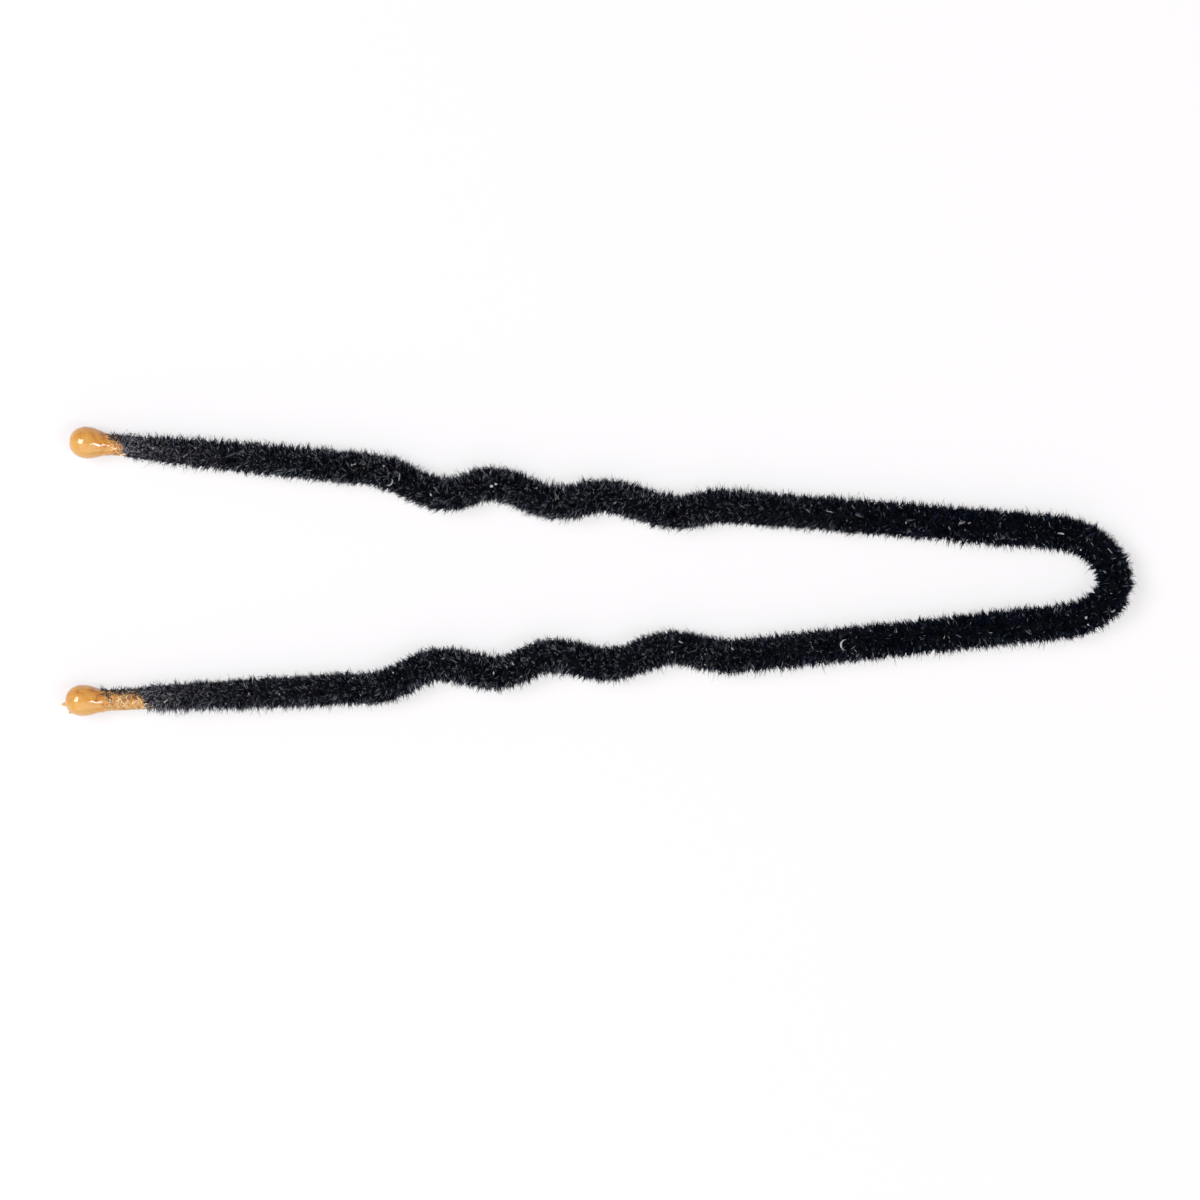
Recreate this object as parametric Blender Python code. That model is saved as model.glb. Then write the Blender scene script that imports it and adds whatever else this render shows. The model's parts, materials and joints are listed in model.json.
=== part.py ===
"""A flocked U-shaped hairpin: one steel wire with three crimps in each leg, a coat of adhesive,
a black flock pile and an amber lacquer bead on each tip.

The pin lies flat. +X points to the bow, +Z is up, and the origin is under the middle of its box.
The left leg is on +Y and the right leg on -Y, as seen from above with the bow pointing away.

Each leg springs about an upright axis a little way down from the bow, so the wire, its coat and its
pile are cut there, across a short gap. The cut lets the legs move: the real wire is in one piece.
"""

import math
from collections import namedtuple

import bmesh
import bpy
from mathutils import Matrix, Vector

MM = 0.001

# Thicknesses, measured across the flats of the section
WIRE_ACROSS = 1.0 * MM
ADHESIVE_INNER = 1.04 * MM
ADHESIVE_OUTER = 1.2 * MM
PILE_INNER = 1.24 * MM
PILE_OUTER = 2.2 * MM
PILE_OUTER_AT_TIP = 1.52 * MM
PILE_TAPER_LENGTH = 13.0 * MM
SECTION_SIDES = 12

# The bow is three arcs from the left leg to the right one: a shoulder, the tight crown and a
# shoulder. The last arc turns as far as the legs leave to it.
SHOULDER_RADIUS_LEFT = 3.9 * MM
SHOULDER_TURN_LEFT = 57.0
CROWN_RADIUS = 1.85 * MM
CROWN_TURN = 75.0
SHOULDER_RADIUS_RIGHT = 4.2 * MM
MOST_TURN_PER_STEP = 15.0

# How far down from the bow each leg springs, and the gap left there for the turn
SPRING_ARM = 9.0 * MM
FLEX_GAP = 0.3 * MM

# The lacquer beads. The wire ends in the middle of its bead, and the lengths run from there. The
# tip is an ellipse at a roundness of 1, and blunter below that.
BEAD_ACROSS = 1.9 * MM
BEAD_TIP = 1.35 * MM
BEAD_TIP_ROUNDNESS = 0.85
BEAD_WIDEST = 0.3 * MM
BEAD_TO_NECK = 1.45 * MM
BEAD_SIDES = 24
BEAD_STEPS = 6
NECK_ACROSS = 1.24 * MM
NECK_GAP = 0.1 * MM
BORE_ACROSS = 1.06 * MM
BORE_PAST_WIRE = 0.05 * MM

# How finely the crimps and the taper of the pile are followed
STEPS_PER_CRIMP_SIDE = 4
TAPER_STATIONS = (0.0, 0.1, 0.25, 0.45, 0.7, 1.0)

# A leg runs from the bow in three stretches, each with its own angle to the pin's axis in degrees.
# The crimps are (distance along the middle stretch, how far the wire bends inwards) in millimetres.
Leg = namedtuple(
    "Leg",
    "name side inner_angle inner_length crimp_angle crimps outer_angle outer_length neck_length",
)
LEFT_LEG = Leg(
    name="left",
    side=1,
    inner_angle=4.1,
    inner_length=20.2 * MM,
    crimp_angle=5.45,
    crimps=((4.15, 1.07), (7.2, 0.1), (11.0, 0.85), (14.0, 0.14), (18.3, 0.68), (21.35, 0.0)),
    outer_angle=5.15,
    outer_length=17.3 * MM,
    neck_length=0.8 * MM,
)
RIGHT_LEG = Leg(
    name="right",
    side=-1,
    inner_angle=6.3,
    inner_length=20.2 * MM,
    crimp_angle=5.4,
    crimps=((3.8, 1.05), (7.55, 0.24), (10.5, 1.0), (14.4, 0.16), (17.8, 0.86), (21.65, 0.0)),
    outer_angle=2.95,
    outer_length=17.5 * MM,
    neck_length=2.1 * MM,
)

# Colour, roughness and metallic value of each material
FINISHES = {
    "drawn_steel_wire": ((0.42, 0.42, 0.44), 0.35, 1.0),
    "flocking_adhesive": ((0.03, 0.03, 0.035), 0.6, 0.0),
    "nylon_flock": ((0.006, 0.007, 0.01), 0.95, 0.0),
    "amber_lacquer": ((0.72, 0.37, 0.13), 0.12, 0.0),
}


def clear_scene():
    for obj in list(bpy.data.objects):
        bpy.data.objects.remove(obj, do_unlink=True)


def material(name):
    """The named material, made the first time that it is asked for."""
    found = bpy.data.materials.get(name)
    if found:
        return found
    colour, roughness, metallic = FINISHES[name]
    made = bpy.data.materials.new(name)
    made.use_nodes = True
    shader = made.node_tree.nodes["Principled BSDF"]
    shader.inputs["Base Color"].default_value = (*colour, 1.0)
    shader.inputs["Roughness"].default_value = roughness
    shader.inputs["Metallic"].default_value = metallic
    return made


def heading(angle, side):
    """The flat direction that leads down a leg, away from the bow, at this angle to the axis."""
    turn = math.radians(angle)
    return Vector((-math.cos(turn), side * math.sin(turn), 0.0))


def inward(angle, side):
    """The flat direction at right angles to a leg's heading, towards the other leg."""
    turn = math.radians(angle)
    return Vector((-math.sin(turn), -side * math.cos(turn), 0.0))


def bow_points():
    """Centreline of the bow, from the left leg round to the right one."""
    turn_left = 180.0 - LEFT_LEG.inner_angle - RIGHT_LEG.inner_angle
    arcs = (
        (SHOULDER_RADIUS_LEFT, SHOULDER_TURN_LEFT),
        (CROWN_RADIUS, CROWN_TURN),
        (SHOULDER_RADIUS_RIGHT, turn_left - SHOULDER_TURN_LEFT - CROWN_TURN),
    )
    points = [Vector((0.0, 0.0, 0.0))]
    facing = math.radians(-LEFT_LEG.inner_angle)
    for radius, turn in arcs:
        steps = math.ceil(turn / MOST_TURN_PER_STEP)
        half_step = math.radians(turn / steps / 2)
        chord = 2 * radius * math.sin(half_step)
        for _ in range(steps):
            facing -= half_step
            points.append(points[-1] + chord * Vector((math.cos(facing), math.sin(facing), 0.0)))
            facing -= half_step
    return points


def bow_end(leg):
    """Where the bow runs into the leg, and where the leg's first stretch starts."""
    return bow_points()[0 if leg is LEFT_LEG else -1]


def spring_point(leg):
    return bow_end(leg) + SPRING_ARM * heading(leg.inner_angle, leg.side)


def eased(share):
    """A smooth step from 0 to 1, which leaves and arrives level."""
    return 0.5 - 0.5 * math.cos(math.pi * share)


def crimp_offsets(leg):
    """The crimps as (distance, offset) in metres, from the bow's end of the stretch, with the sides
    of each bend filled in."""
    length = leg.crimps[-1][0] * MM
    turning = [(length, 0.0)] + [(length - along * MM, off * MM) for along, off in leg.crimps]
    turning.sort()
    points = [turning[0]]
    for (start, low), (end, high) in zip(turning, turning[1:]):
        for step in range(1, STEPS_PER_CRIMP_SIDE + 1):
            share = step / STEPS_PER_CRIMP_SIDE
            points.append((start + share * (end - start), low + eased(share) * (high - low)))
    return points


def crimp_start(leg):
    return bow_end(leg) + leg.inner_length * heading(leg.inner_angle, leg.side)


def crimp_points(leg):
    """Centreline through the crimps, from the bow's end towards the tip."""
    start = crimp_start(leg)
    along = heading(leg.crimp_angle, leg.side)
    across = inward(leg.crimp_angle, leg.side)
    return [start + distance * along + offset * across for distance, offset in crimp_offsets(leg)]


def wire_end(leg):
    """The middle of the bead, where the wire ends."""
    return crimp_points(leg)[-1] + leg.outer_length * heading(leg.outer_angle, leg.side)


def outer_points(leg, end_distance):
    """Stations of the outer stretch past the crimps, as far as this distance from the wire's end."""
    end = wire_end(leg)
    back = -heading(leg.outer_angle, leg.side)
    return [
        end + (end_distance + share * PILE_TAPER_LENGTH) * back for share in reversed(TAPER_STATIONS)
    ]


def coat_start(leg):
    """How far from the wire's end the adhesive and the pile start."""
    return BEAD_TO_NECK + leg.neck_length


def leg_route(leg, end_distance):
    first = spring_point(leg) + FLEX_GAP / 2 * heading(leg.inner_angle, leg.side)
    return [first] + crimp_points(leg) + outer_points(leg, end_distance)


def bow_route():
    """From the left leg's spring point, round the bow, to the right leg's."""
    ends = [
        spring_point(leg) - FLEX_GAP / 2 * heading(leg.inner_angle, leg.side)
        for leg in (LEFT_LEG, RIGHT_LEG)
    ]
    return [ends[0]] + bow_points() + [ends[1]]


def directions(route):
    """The direction of travel at each point: at a bend, halfway between the runs that meet."""
    runs = [(after - before).normalized() for before, after in zip(route, route[1:])]
    middle = [(before + after).normalized() for before, after in zip(runs, runs[1:])]
    return [runs[0]] + middle + [runs[-1]]


def add_loop(bm, point, direction, across):
    """The corners of one section of the route, with a flat side facing down."""
    radius = across / 2 / math.cos(math.pi / SECTION_SIDES)
    upright = Vector((0.0, 0.0, 1.0))
    sideways = direction.cross(upright)
    corners = []
    for corner in range(SECTION_SIDES):
        turn = 2 * math.pi * (corner + 0.5) / SECTION_SIDES - math.pi / 2
        offset = math.cos(turn) * sideways + math.sin(turn) * upright
        corners.append(bm.verts.new(point + radius * offset))
    return corners


def loops_along(bm, route, thicknesses):
    return [
        add_loop(bm, point, direction, across)
        for point, direction, across in zip(route, directions(route), thicknesses)
    ]


def join_loops(bm, loops):
    """A four-sided face between each two corners of one loop and the same two of the next."""
    for near, far in zip(loops, loops[1:]):
        for corner in range(SECTION_SIDES):
            after = (corner + 1) % SECTION_SIDES
            bm.faces.new((near[corner], near[after], far[after], far[corner]))


def finish_object(name, bm, origin, finish):
    """Makes the object, with its origin on the joint's axis where it has one."""
    bmesh.ops.recalc_face_normals(bm, faces=bm.faces[:])
    bmesh.ops.translate(bm, verts=bm.verts[:], vec=-origin)
    mesh = bpy.data.meshes.new(name)
    bm.to_mesh(mesh)
    bm.free()
    mesh.shade_smooth()
    mesh.set_sharp_from_angle(angle=math.radians(40.0))
    mesh.materials.append(material(finish))
    obj = bpy.data.objects.new(name, mesh)
    bpy.context.scene.collection.objects.link(obj)
    obj.location = origin
    return obj


def make_rod(name, route, across, origin, finish):
    """A solid bar along the route."""
    bm = bmesh.new()
    loops = loops_along(bm, route, [across] * len(route))
    join_loops(bm, loops)
    bm.faces.new(loops[0])
    bm.faces.new(loops[-1])
    return finish_object(name, bm, origin, finish)


def make_sleeve(name, route, inner, outer_thicknesses, origin, finish):
    """A tube along the route, open at both ends. The outer thickness may change along it."""
    bm = bmesh.new()
    outside = loops_along(bm, route, outer_thicknesses)
    inside = loops_along(bm, route, [inner] * len(route))
    join_loops(bm, outside + inside[::-1] + outside[:1])
    return finish_object(name, bm, origin, finish)


def pile_thickness(distance):
    """Across the pile at this distance from its end by the tip, where the dipping left it thin."""
    thinned = max(0.0, 1.0 - distance / PILE_TAPER_LENGTH)
    return PILE_OUTER - (PILE_OUTER - PILE_OUTER_AT_TIP) * thinned**2


def bead_profile(leg):
    """(distance past the wire's end, radius) of the bead: down the bore, out and along the outside."""
    neck_end = NECK_GAP - coat_start(leg)
    neck_radius = NECK_ACROSS / 2
    bead_radius = BEAD_ACROSS / 2
    bore_radius = BORE_ACROSS / 2 / math.cos(math.pi / BEAD_SIDES)
    points = [(BORE_PAST_WIRE, 0.0), (BORE_PAST_WIRE, bore_radius), (neck_end, bore_radius)]
    points += [(neck_end, neck_radius), (-BEAD_TO_NECK, neck_radius)]
    for step in range(1, BEAD_STEPS):
        share = step / BEAD_STEPS
        along = -BEAD_TO_NECK + share * (BEAD_WIDEST + BEAD_TO_NECK)
        points.append((along, neck_radius + eased(share) * (bead_radius - neck_radius)))
    for step in range(BEAD_STEPS):
        turn = math.pi / 2 * step / BEAD_STEPS
        along = BEAD_WIDEST + (BEAD_TIP - BEAD_WIDEST) * math.sin(turn)
        points.append((along, bead_radius * math.cos(turn) ** BEAD_TIP_ROUNDNESS))
    return points + [(BEAD_TIP, 0.0)]


def make_bead(leg, origin):
    """The lacquer drop round the wire's end, turned about the outer stretch of its leg."""
    bm = bmesh.new()
    profile = [bm.verts.new((along, radius, 0.0)) for along, radius in bead_profile(leg)]
    edges = [bm.edges.new(pair) for pair in zip(profile, profile[1:])]
    bmesh.ops.spin(
        bm,
        geom=profile + edges,
        cent=(0.0, 0.0, 0.0),
        axis=(1.0, 0.0, 0.0),
        angle=2 * math.pi,
        steps=BEAD_SIDES,
        use_merge=True,
    )
    bmesh.ops.remove_doubles(bm, verts=bm.verts[:], dist=0.001 * MM)
    along = heading(leg.outer_angle, leg.side)
    upright = Vector((0.0, 0.0, 1.0))
    turned = Matrix((along, upright.cross(along), upright)).transposed().to_4x4()
    bmesh.ops.transform(bm, matrix=Matrix.Translation(wire_end(leg)) @ turned, verts=bm.verts[:])
    return finish_object(f"tip_bead_{leg.name}", bm, origin, "amber_lacquer")


def make_coated_stretch(suffix, wire_route, coat_route, pile_thicknesses, origin):
    """The wire, its adhesive and its pile along one stretch."""
    wire = make_rod(f"wire_{suffix}", wire_route, WIRE_ACROSS, origin, "drawn_steel_wire")
    adhesive = make_sleeve(
        f"adhesive_{suffix}",
        coat_route,
        ADHESIVE_INNER,
        [ADHESIVE_OUTER] * len(coat_route),
        origin,
        "flocking_adhesive",
    )
    pile = make_sleeve(
        f"flock_{suffix}", coat_route, PILE_INNER, pile_thicknesses, origin, "nylon_flock"
    )
    return [wire, adhesive, pile]


def make_bow():
    route = bow_route()
    return make_coated_stretch("bow", route, route, [PILE_OUTER] * len(route), Vector())


def make_leg(leg):
    """All that springs with one leg, held by an empty on its upright axis."""
    pivot = spring_point(leg)
    coat_route = leg_route(leg, coat_start(leg))
    end = coat_route[-1]
    thicknesses = [pile_thickness((point - end).length) for point in coat_route]
    pieces = make_coated_stretch(
        f"{leg.name}_leg", leg_route(leg, 0.0), coat_route, thicknesses, pivot
    )
    pieces.append(make_bead(leg, pivot))
    axis = bpy.data.objects.new(f"{leg.name}_leg_axis", None)
    axis.location = pivot
    bpy.context.scene.collection.objects.link(axis)
    for piece in pieces:
        piece.parent = axis
        piece.location = Vector()
    return axis


def lay_on_floor():
    """Moves the whole pin so that the middle of its box is over the origin and it rests on z = 0."""
    bpy.context.view_layer.update()
    solids = [obj for obj in bpy.context.scene.objects if obj.type == "MESH"]
    points = [obj.matrix_world @ vertex.co for obj in solids for vertex in obj.data.vertices]
    low = Vector([min(point[axis] for point in points) for axis in range(3)])
    high = Vector([max(point[axis] for point in points) for axis in range(3)])
    shift = Vector((-(low.x + high.x) / 2, -(low.y + high.y) / 2, -low.z))
    for obj in bpy.context.scene.objects:
        if obj.parent is None:
            obj.location += shift
    bpy.context.view_layer.update()
    return shift


def main():
    clear_scene()
    make_bow()
    axes = [make_leg(LEFT_LEG), make_leg(RIGHT_LEG)]
    shift = lay_on_floor()
    print("left end of the bow", [round(value / MM, 3) for value in shift])
    for axis in axes:
        print(axis.name, [round(value / MM, 3) for value in axis.location])


main()
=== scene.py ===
"""Dresses the flocked hairpin as it looks in the hand: a pile grown fibre by fibre over the coated wire,
and a drop of amber lacquer on each tip. It lies on a pale floor in soft light.

+X points to the bow, +Y to the left leg and +Z up. The wire runs level, at the height of the joints.
"""

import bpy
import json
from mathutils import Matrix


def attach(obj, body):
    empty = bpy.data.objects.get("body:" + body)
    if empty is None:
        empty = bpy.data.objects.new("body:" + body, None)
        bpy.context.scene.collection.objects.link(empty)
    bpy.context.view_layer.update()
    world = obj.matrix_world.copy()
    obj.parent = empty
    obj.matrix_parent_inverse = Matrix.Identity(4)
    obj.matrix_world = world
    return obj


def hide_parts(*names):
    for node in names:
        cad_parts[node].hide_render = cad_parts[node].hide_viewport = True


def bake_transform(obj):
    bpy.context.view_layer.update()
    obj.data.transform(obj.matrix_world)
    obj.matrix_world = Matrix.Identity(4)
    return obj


bl_info = {
    "name": "Flocked hairpin",
    "version": (1, 0, 0),
    "blender": (4, 5, 0),
    "location": "3D View > Sidebar > Hairpin",
    "description": "Grows the flock pile, dips the tips and lights the pin",
    "category": "Add Mesh",
}

import json
import math
from collections import namedtuple

import bpy
import numpy as np
from bpy.props import FloatProperty, FloatVectorProperty, IntProperty, PointerProperty
from mathutils import Vector, noise

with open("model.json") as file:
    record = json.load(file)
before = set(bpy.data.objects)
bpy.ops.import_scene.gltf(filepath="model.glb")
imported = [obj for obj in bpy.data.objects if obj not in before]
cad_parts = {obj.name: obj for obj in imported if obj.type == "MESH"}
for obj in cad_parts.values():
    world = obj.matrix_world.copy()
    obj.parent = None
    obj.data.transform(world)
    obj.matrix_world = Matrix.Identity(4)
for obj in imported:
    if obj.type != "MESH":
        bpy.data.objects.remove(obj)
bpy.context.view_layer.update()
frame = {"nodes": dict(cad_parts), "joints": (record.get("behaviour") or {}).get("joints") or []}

MM = 0.001
FULL_TURN = 2 * math.pi
UP = np.array((0.0, 0.0, 1.0))
# Each layer of the pile draws its random numbers from seeds of its own, this far past the pile's seed
SEED_STEPS = {"pile": 0, "fringe": 10, "lint": 20, "dust": 30}

# The pin's line, in the frame's own sizes. Each leg leaves the bow in three stretches, each at its own
# angle to the pin's axis in degrees. The crimps are (distance from the tip's side of the middle
# stretch, how far the wire bends inwards) in millimetres.
Leg = namedtuple(
    "Leg",
    "name side inner_angle inner_length crimp_angle crimps outer_angle outer_length neck_length",
)
LEFT_LEG = Leg(
    name="left",
    side=1,
    inner_angle=4.1,
    inner_length=20.2 * MM,
    crimp_angle=5.45,
    crimps=((4.15, 1.07), (7.2, 0.1), (11.0, 0.85), (14.0, 0.14), (18.3, 0.68), (21.35, 0.0)),
    outer_angle=5.15,
    outer_length=17.3 * MM,
    neck_length=0.8 * MM,
)
RIGHT_LEG = Leg(
    name="right",
    side=-1,
    inner_angle=6.3,
    inner_length=20.2 * MM,
    crimp_angle=5.4,
    crimps=((3.8, 1.05), (7.55, 0.24), (10.5, 1.0), (14.4, 0.16), (17.8, 0.86), (21.65, 0.0)),
    outer_angle=2.95,
    outer_length=17.5 * MM,
    neck_length=2.1 * MM,
)
LEGS = (LEFT_LEG, RIGHT_LEG)
# Radius and turn in degrees of the bow's left shoulder, crown and right shoulder
BOW_ARCS = ((3.9 * MM, 57.0), (1.85 * MM, 75.0), (4.2 * MM, 37.6))
SPRING_ARM = 9.0 * MM
LINE_STEP = 0.1 * MM

# The pile, by radius. It starts thin by the tip and is full after the taper's length.
SLEEVE_BORE = 0.62 * MM
PILE_RADIUS = 1.1 * MM
PILE_RADIUS_AT_TIP = 0.93 * MM
PILE_TAPER = 25.0 * MM
PILE_TAPER_CURVE = 1.5
# Its ground, a lumpy sleeve in which the fibres stand too close together to tell apart
GROUND_RADIUS = 0.8 * MM
GROUND_RADIUS_AT_TIP = 0.64 * MM
GROUND_TAPER_CURVE = 2
GROUND_LEAST_WALL = 0.01 * MM
GROUND_LUMP_SIZE = 0.3 * MM
GROUND_LUMP_HEIGHT = 0.05 * MM
GROUND_RING_STEP = 0.12 * MM
GROUND_SIDES = 28
# How far on the bow's side of a joint a leg's pile starts and the bow's ends
BEND_REACH = 2.2 * MM
# How far the bow's line runs on past its pile at each end, for fibres that lean out over it
OVERRUN = 1.0 * MM
# The middle of a fibre lies no lower than this
FLOOR_GAP = 0.06 * MM

# Each tip: the radii of its drop and its neck, how far to the right of the wire the neck lies, how far
# the pile runs on over it along the left edge, how much the fibres in the neck's lacquer curl, by
# standard deviation, the share of them that shows, how much lower the tufts stand where the pile
# starts, and how far to the right the hair has brushed them there
Tip = namedtuple("Tip", "radius neck aside skew curl fibres worn brushed")
TIPS = {
    "left": Tip(
        radius=0.98 * MM,
        neck=0.57 * MM,
        aside=0.0,
        skew=0.75 * MM,
        curl=0.6,
        fibres=0.6,
        worn=0.15 * MM,
        brushed=0.0,
    ),
    "right": Tip(
        radius=0.96 * MM,
        neck=0.6 * MM,
        aside=0.07 * MM,
        skew=0.25 * MM,
        curl=2.0,
        fibres=1.0,
        worn=0.03 * MM,
        brushed=0.1 * MM,
    ),
}
# How fast the tufts reach their full height from there
WORN_FALL = 1.5 * MM
# The share of the brushing that fibres on the left take, which have the wire behind them
BRUSHED_ON_LEFT = 0.3
# How unevenly the pile starts: each fibre, by standard deviation
RAGGED = 0.12 * MM
# The ground reaches this much further, with rags this deep. It runs out over this length, and follows
# the pile along the left edge by this share. The larger the rag circle, the more rags.
GROUND_LAP = 0.12 * MM
GROUND_RAGGED = 0.5 * MM
GROUND_RAG_CIRCLE = 3
GROUND_RUNOUT = 0.6 * MM
GROUND_FOLLOWS = 0.6

# Tufts of fibres lean this far and differ this much in height, by standard deviation, and each fibre's
# tip is drawn at least this share of the way to its tuft's
TUFT_LEAN = 0.12 * MM
TUFT_UNEVENNESS = 0.075
TUFT_GATHER = 0.5
# The share of a tuft's fibres that take its tone and its dust
TUFT_ALIKE = 0.25
# The hair combs a leg's fibres towards its tip by this much, and by this much more on its inner face
COMB = 0.05 * MM
INNER_COMBS = {"left": 0.12 * MM, "right": 0.05 * MM}
# It rubs on the legs' inner faces too, which leaves their fibres shorter by this share
INNER_WEAR = 0.07
# The share of fibres missing where the pile starts by the tip, and how fast they come back
THINNING = 0.72
THINNING_FALL = 4.0
# How many times further the fibres lean there, and how much thinner they are
SPRAWL = 1.6
SLENDER = 0.3
# A kind of fibre: the least and most share of the pile's radius that its tip comes to, how deep its
# foot stands in the ground, how far its tip strays, by standard deviation, how many points it is drawn
# with, and the part of the range of dyes and painted glints that it comes from
Kind = namedtuple("Kind", "reach root lean points tones")
PILE = Kind(reach=(0.84, 1.18), root=0.05 * MM, lean=0.06 * MM, points=2, tones=(0.0, 1.0))
FRINGE = Kind(reach=(0.95, 1.38), root=0.0, lean=0.18 * MM, points=4, tones=(0.0, 0.8))
# Cut flock is about 0.03 mm thick. In the pile that is too fine to show, so the pile's fibres are drawn
# three times as thick, and fewer. Only the fringe's are drawn as thin as they are.
FRINGE_WIDTH = 0.032 * MM
# Above 1, most fibres keep to the short end of their reach
REACH_BIAS = 1.5
# The thinnest and the thickest fibres of a kind, as shares of its width. On its way each narrows to
# the last share of its own, and then comes to a point.
FIBRE_WIDTHS = (0.7, 1.2)
FIBRE_TAPER = 0.4
# How far a fibre with more than two points bends, as a share of its length, by standard deviation
FIBRE_BEND = 0.07

# How fast the dusty grey fades away from the tip, and the share of it that lies all along a leg, from
# nothing at the first of these distances down the leg to its full share at the second
DUST_FALL = 7.0
DUST_SHARE = 0.5
DUST_FROM = 11.0 * MM
DUST_TO = 24.0 * MM
# The higher this is, the fewer fibres hold the dust: all along a leg, and where the pile starts
DUST_PATCHES = 12.0
DUST_PATCHES_AT_TIP = 1.9
# How many times over dust covers the dustiest fibre
DUST_COVER = 3.0

# The lacquer drop, as distances past the wire's end, and its bore
DROP_TIP = 1.35 * MM
DROP_ROUNDNESS = 0.85
DROP_WIDEST = 0.3 * MM
DROP_TO_NECK = 1.45 * MM
NECK_GAP = 0.1 * MM
BORE_RADIUS = 0.51 * MM
BORE_PAST_WIRE = 0.05 * MM
# How many rings of points it has along its neck, down to where it is widest, and on to its tip
NECK_RINGS = 20
SHOULDER_RINGS = 24
CAP_RINGS = 44
DROP_SIDES = 84
LUMP_SIZE = 0.36 * MM
LUMP_HEIGHT = 0.014 * MM
# Finer ripples near the neck, where the lacquer ran down over fibres. They are full up to where the
# drop starts to swell, and then fade to nothing this share of that distance past the wire's end.
RIPPLE_SIZE = 0.2 * MM
RIPPLE_HEIGHT = 0.011 * MM
RIPPLE_REACH = 0.4
# Where lacquer drew out to a point as it dripped off: how far round the drop from its left edge in
# degrees, how far off its axis, how far it stands out and how wide it is
Nib = namedtuple("Nib", "round off height width")
NIBS = {
    "left": (),
    "right": (
        Nib(180.0, 0.16 * MM, 0.26 * MM, 0.1 * MM),
        Nib(170.0, 0.7 * MM, 0.12 * MM, 0.09 * MM),
    ),
}
# How much darker a neck is painted along its left side, away from the window: a painted shade
NECK_PAINTED_SHADE = 0.35


def linear(hex_colour):
    """An sRGB hex colour as linear red, green and blue."""
    levels = [int(hex_colour[i : i + 2], 16) / 255 for i in (1, 3, 5)]
    return tuple(v / 12.92 if v <= 0.04045 else ((v + 0.055) / 1.055) ** 2.4 for v in levels)


class HairpinPile(bpy.types.PropertyGroup):
    """The flock pile."""

    fibres: FloatProperty(
        name="Fibres", description="Pile fibres on each square millimetre", default=120.0, min=1.0
    )
    fringe: FloatProperty(
        name="Fringe", description="Long thin fibres on each square millimetre", default=17.0, min=0.0
    )
    tuft: FloatProperty(
        name="Tuft", description="Across a tuft of fibres that lean together", default=0.3 * MM,
        unit="LENGTH",
    )
    fibre_width: FloatProperty(
        name="Fibre width", description="Across a fibre at its foot", default=0.09 * MM, unit="LENGTH"
    )
    black: FloatVectorProperty(
        name="Black", description="Most of the fibres", subtype="COLOR", default=linear("#020309")
    )
    grey: FloatVectorProperty(
        name="Grey", description="Thin pile by the tips", subtype="COLOR", default=linear("#DADEE8")
    )
    dust: FloatVectorProperty(
        name="Dust", description="Lint caught in the pile", subtype="COLOR", default=linear("#BEBEC2")
    )
    specks: FloatProperty(
        name="Specks", description="Specks of dust on each square millimetre", default=0.9, min=0.0
    )
    seed: IntProperty(name="Seed", description="Where the fibres fall", default=11)


class HairpinTips(bpy.types.PropertyGroup):
    """The lacquer drops and their necks."""

    amber: FloatVectorProperty(
        name="Amber", description="Deep lacquer", subtype="COLOR", default=linear("#D28A0C")
    )
    honey: FloatVectorProperty(
        name="Honey", description="Milky lacquer", subtype="COLOR", default=linear("#D69E44")
    )
    neck_fibres: FloatProperty(
        name="Neck fibres", description="Lacquered fibres on each millimetre of neck", default=220.0
    )
    strays: FloatProperty(
        name="Strays", description="Black fibres stuck on each millimetre of neck", default=150.0
    )
    seed: IntProperty(name="Seed", description="Where the necks' fibres lie", default=5)


class HairpinStage(bpy.types.PropertyGroup):
    """Floor, lamps and camera."""

    floor: FloatVectorProperty(
        name="Floor", description="Colour of the floor", subtype="COLOR", default=linear("#F1EDF1")
    )
    frame_width: FloatProperty(
        name="Frame", description="Width of floor in the picture", default=72.6 * MM, unit="LENGTH"
    )
    lens: FloatProperty(name="Lens", description="Focal length", default=150.0, unit="CAMERA")


class Line:
    """A line on the plane of the pin that can be read at any distance from its start."""

    def __init__(self, points):
        steps = np.linalg.norm(np.diff(points, axis=0), axis=1)
        self.distances = np.concatenate(((0.0,), np.cumsum(steps)))
        self.length = self.distances[-1]
        self.points = points
        self.ways = np.gradient(points, self.distances, axis=0)

    def read(self, values, distances):
        return np.stack([np.interp(distances, self.distances, v) for v in values.T], axis=-1)

    def around(self, distances, turns, radii):
        """Points off the line. A turn of 0 is level, to the right of the line, and a quarter is up."""
        way = self.read(self.ways, distances)
        way /= np.linalg.norm(way, axis=-1, keepdims=True)
        right = np.stack((way[..., 1], -way[..., 0]), axis=-1)
        level = self.read(self.points, distances) + (radii * np.cos(turns))[..., None] * right
        height = wire_height() + radii * np.sin(turns)
        return np.concatenate((level, height[..., None]), axis=-1)


def joint_of(leg):
    return next(j for j in frame["joints"] if j["name"] == f"{leg.name}_leg_spring")


def wire_height():
    return joint_of(LEFT_LEG)["pos_m"][2]


def heading(angle, side):
    """The level direction that leads down a leg, away from the bow, at this angle to the axis."""
    turn = math.radians(angle)
    return np.array((-math.cos(turn), side * math.sin(turn)))


def inward(angle, side):
    """The level direction at right angles to a leg's heading, towards the other leg."""
    turn = math.radians(angle)
    return np.array((-math.sin(turn), -side * math.cos(turn)))


def spring_point(leg):
    return np.array(joint_of(leg)["pos_m"][:2])


def bow_end(leg):
    return spring_point(leg) - SPRING_ARM * heading(leg.inner_angle, leg.side)


def steps_to(length):
    """Even distances from 0 up to, and not including, this length."""
    return np.arange(0.0, length - LINE_STEP / 2, LINE_STEP)[:, None]


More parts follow.
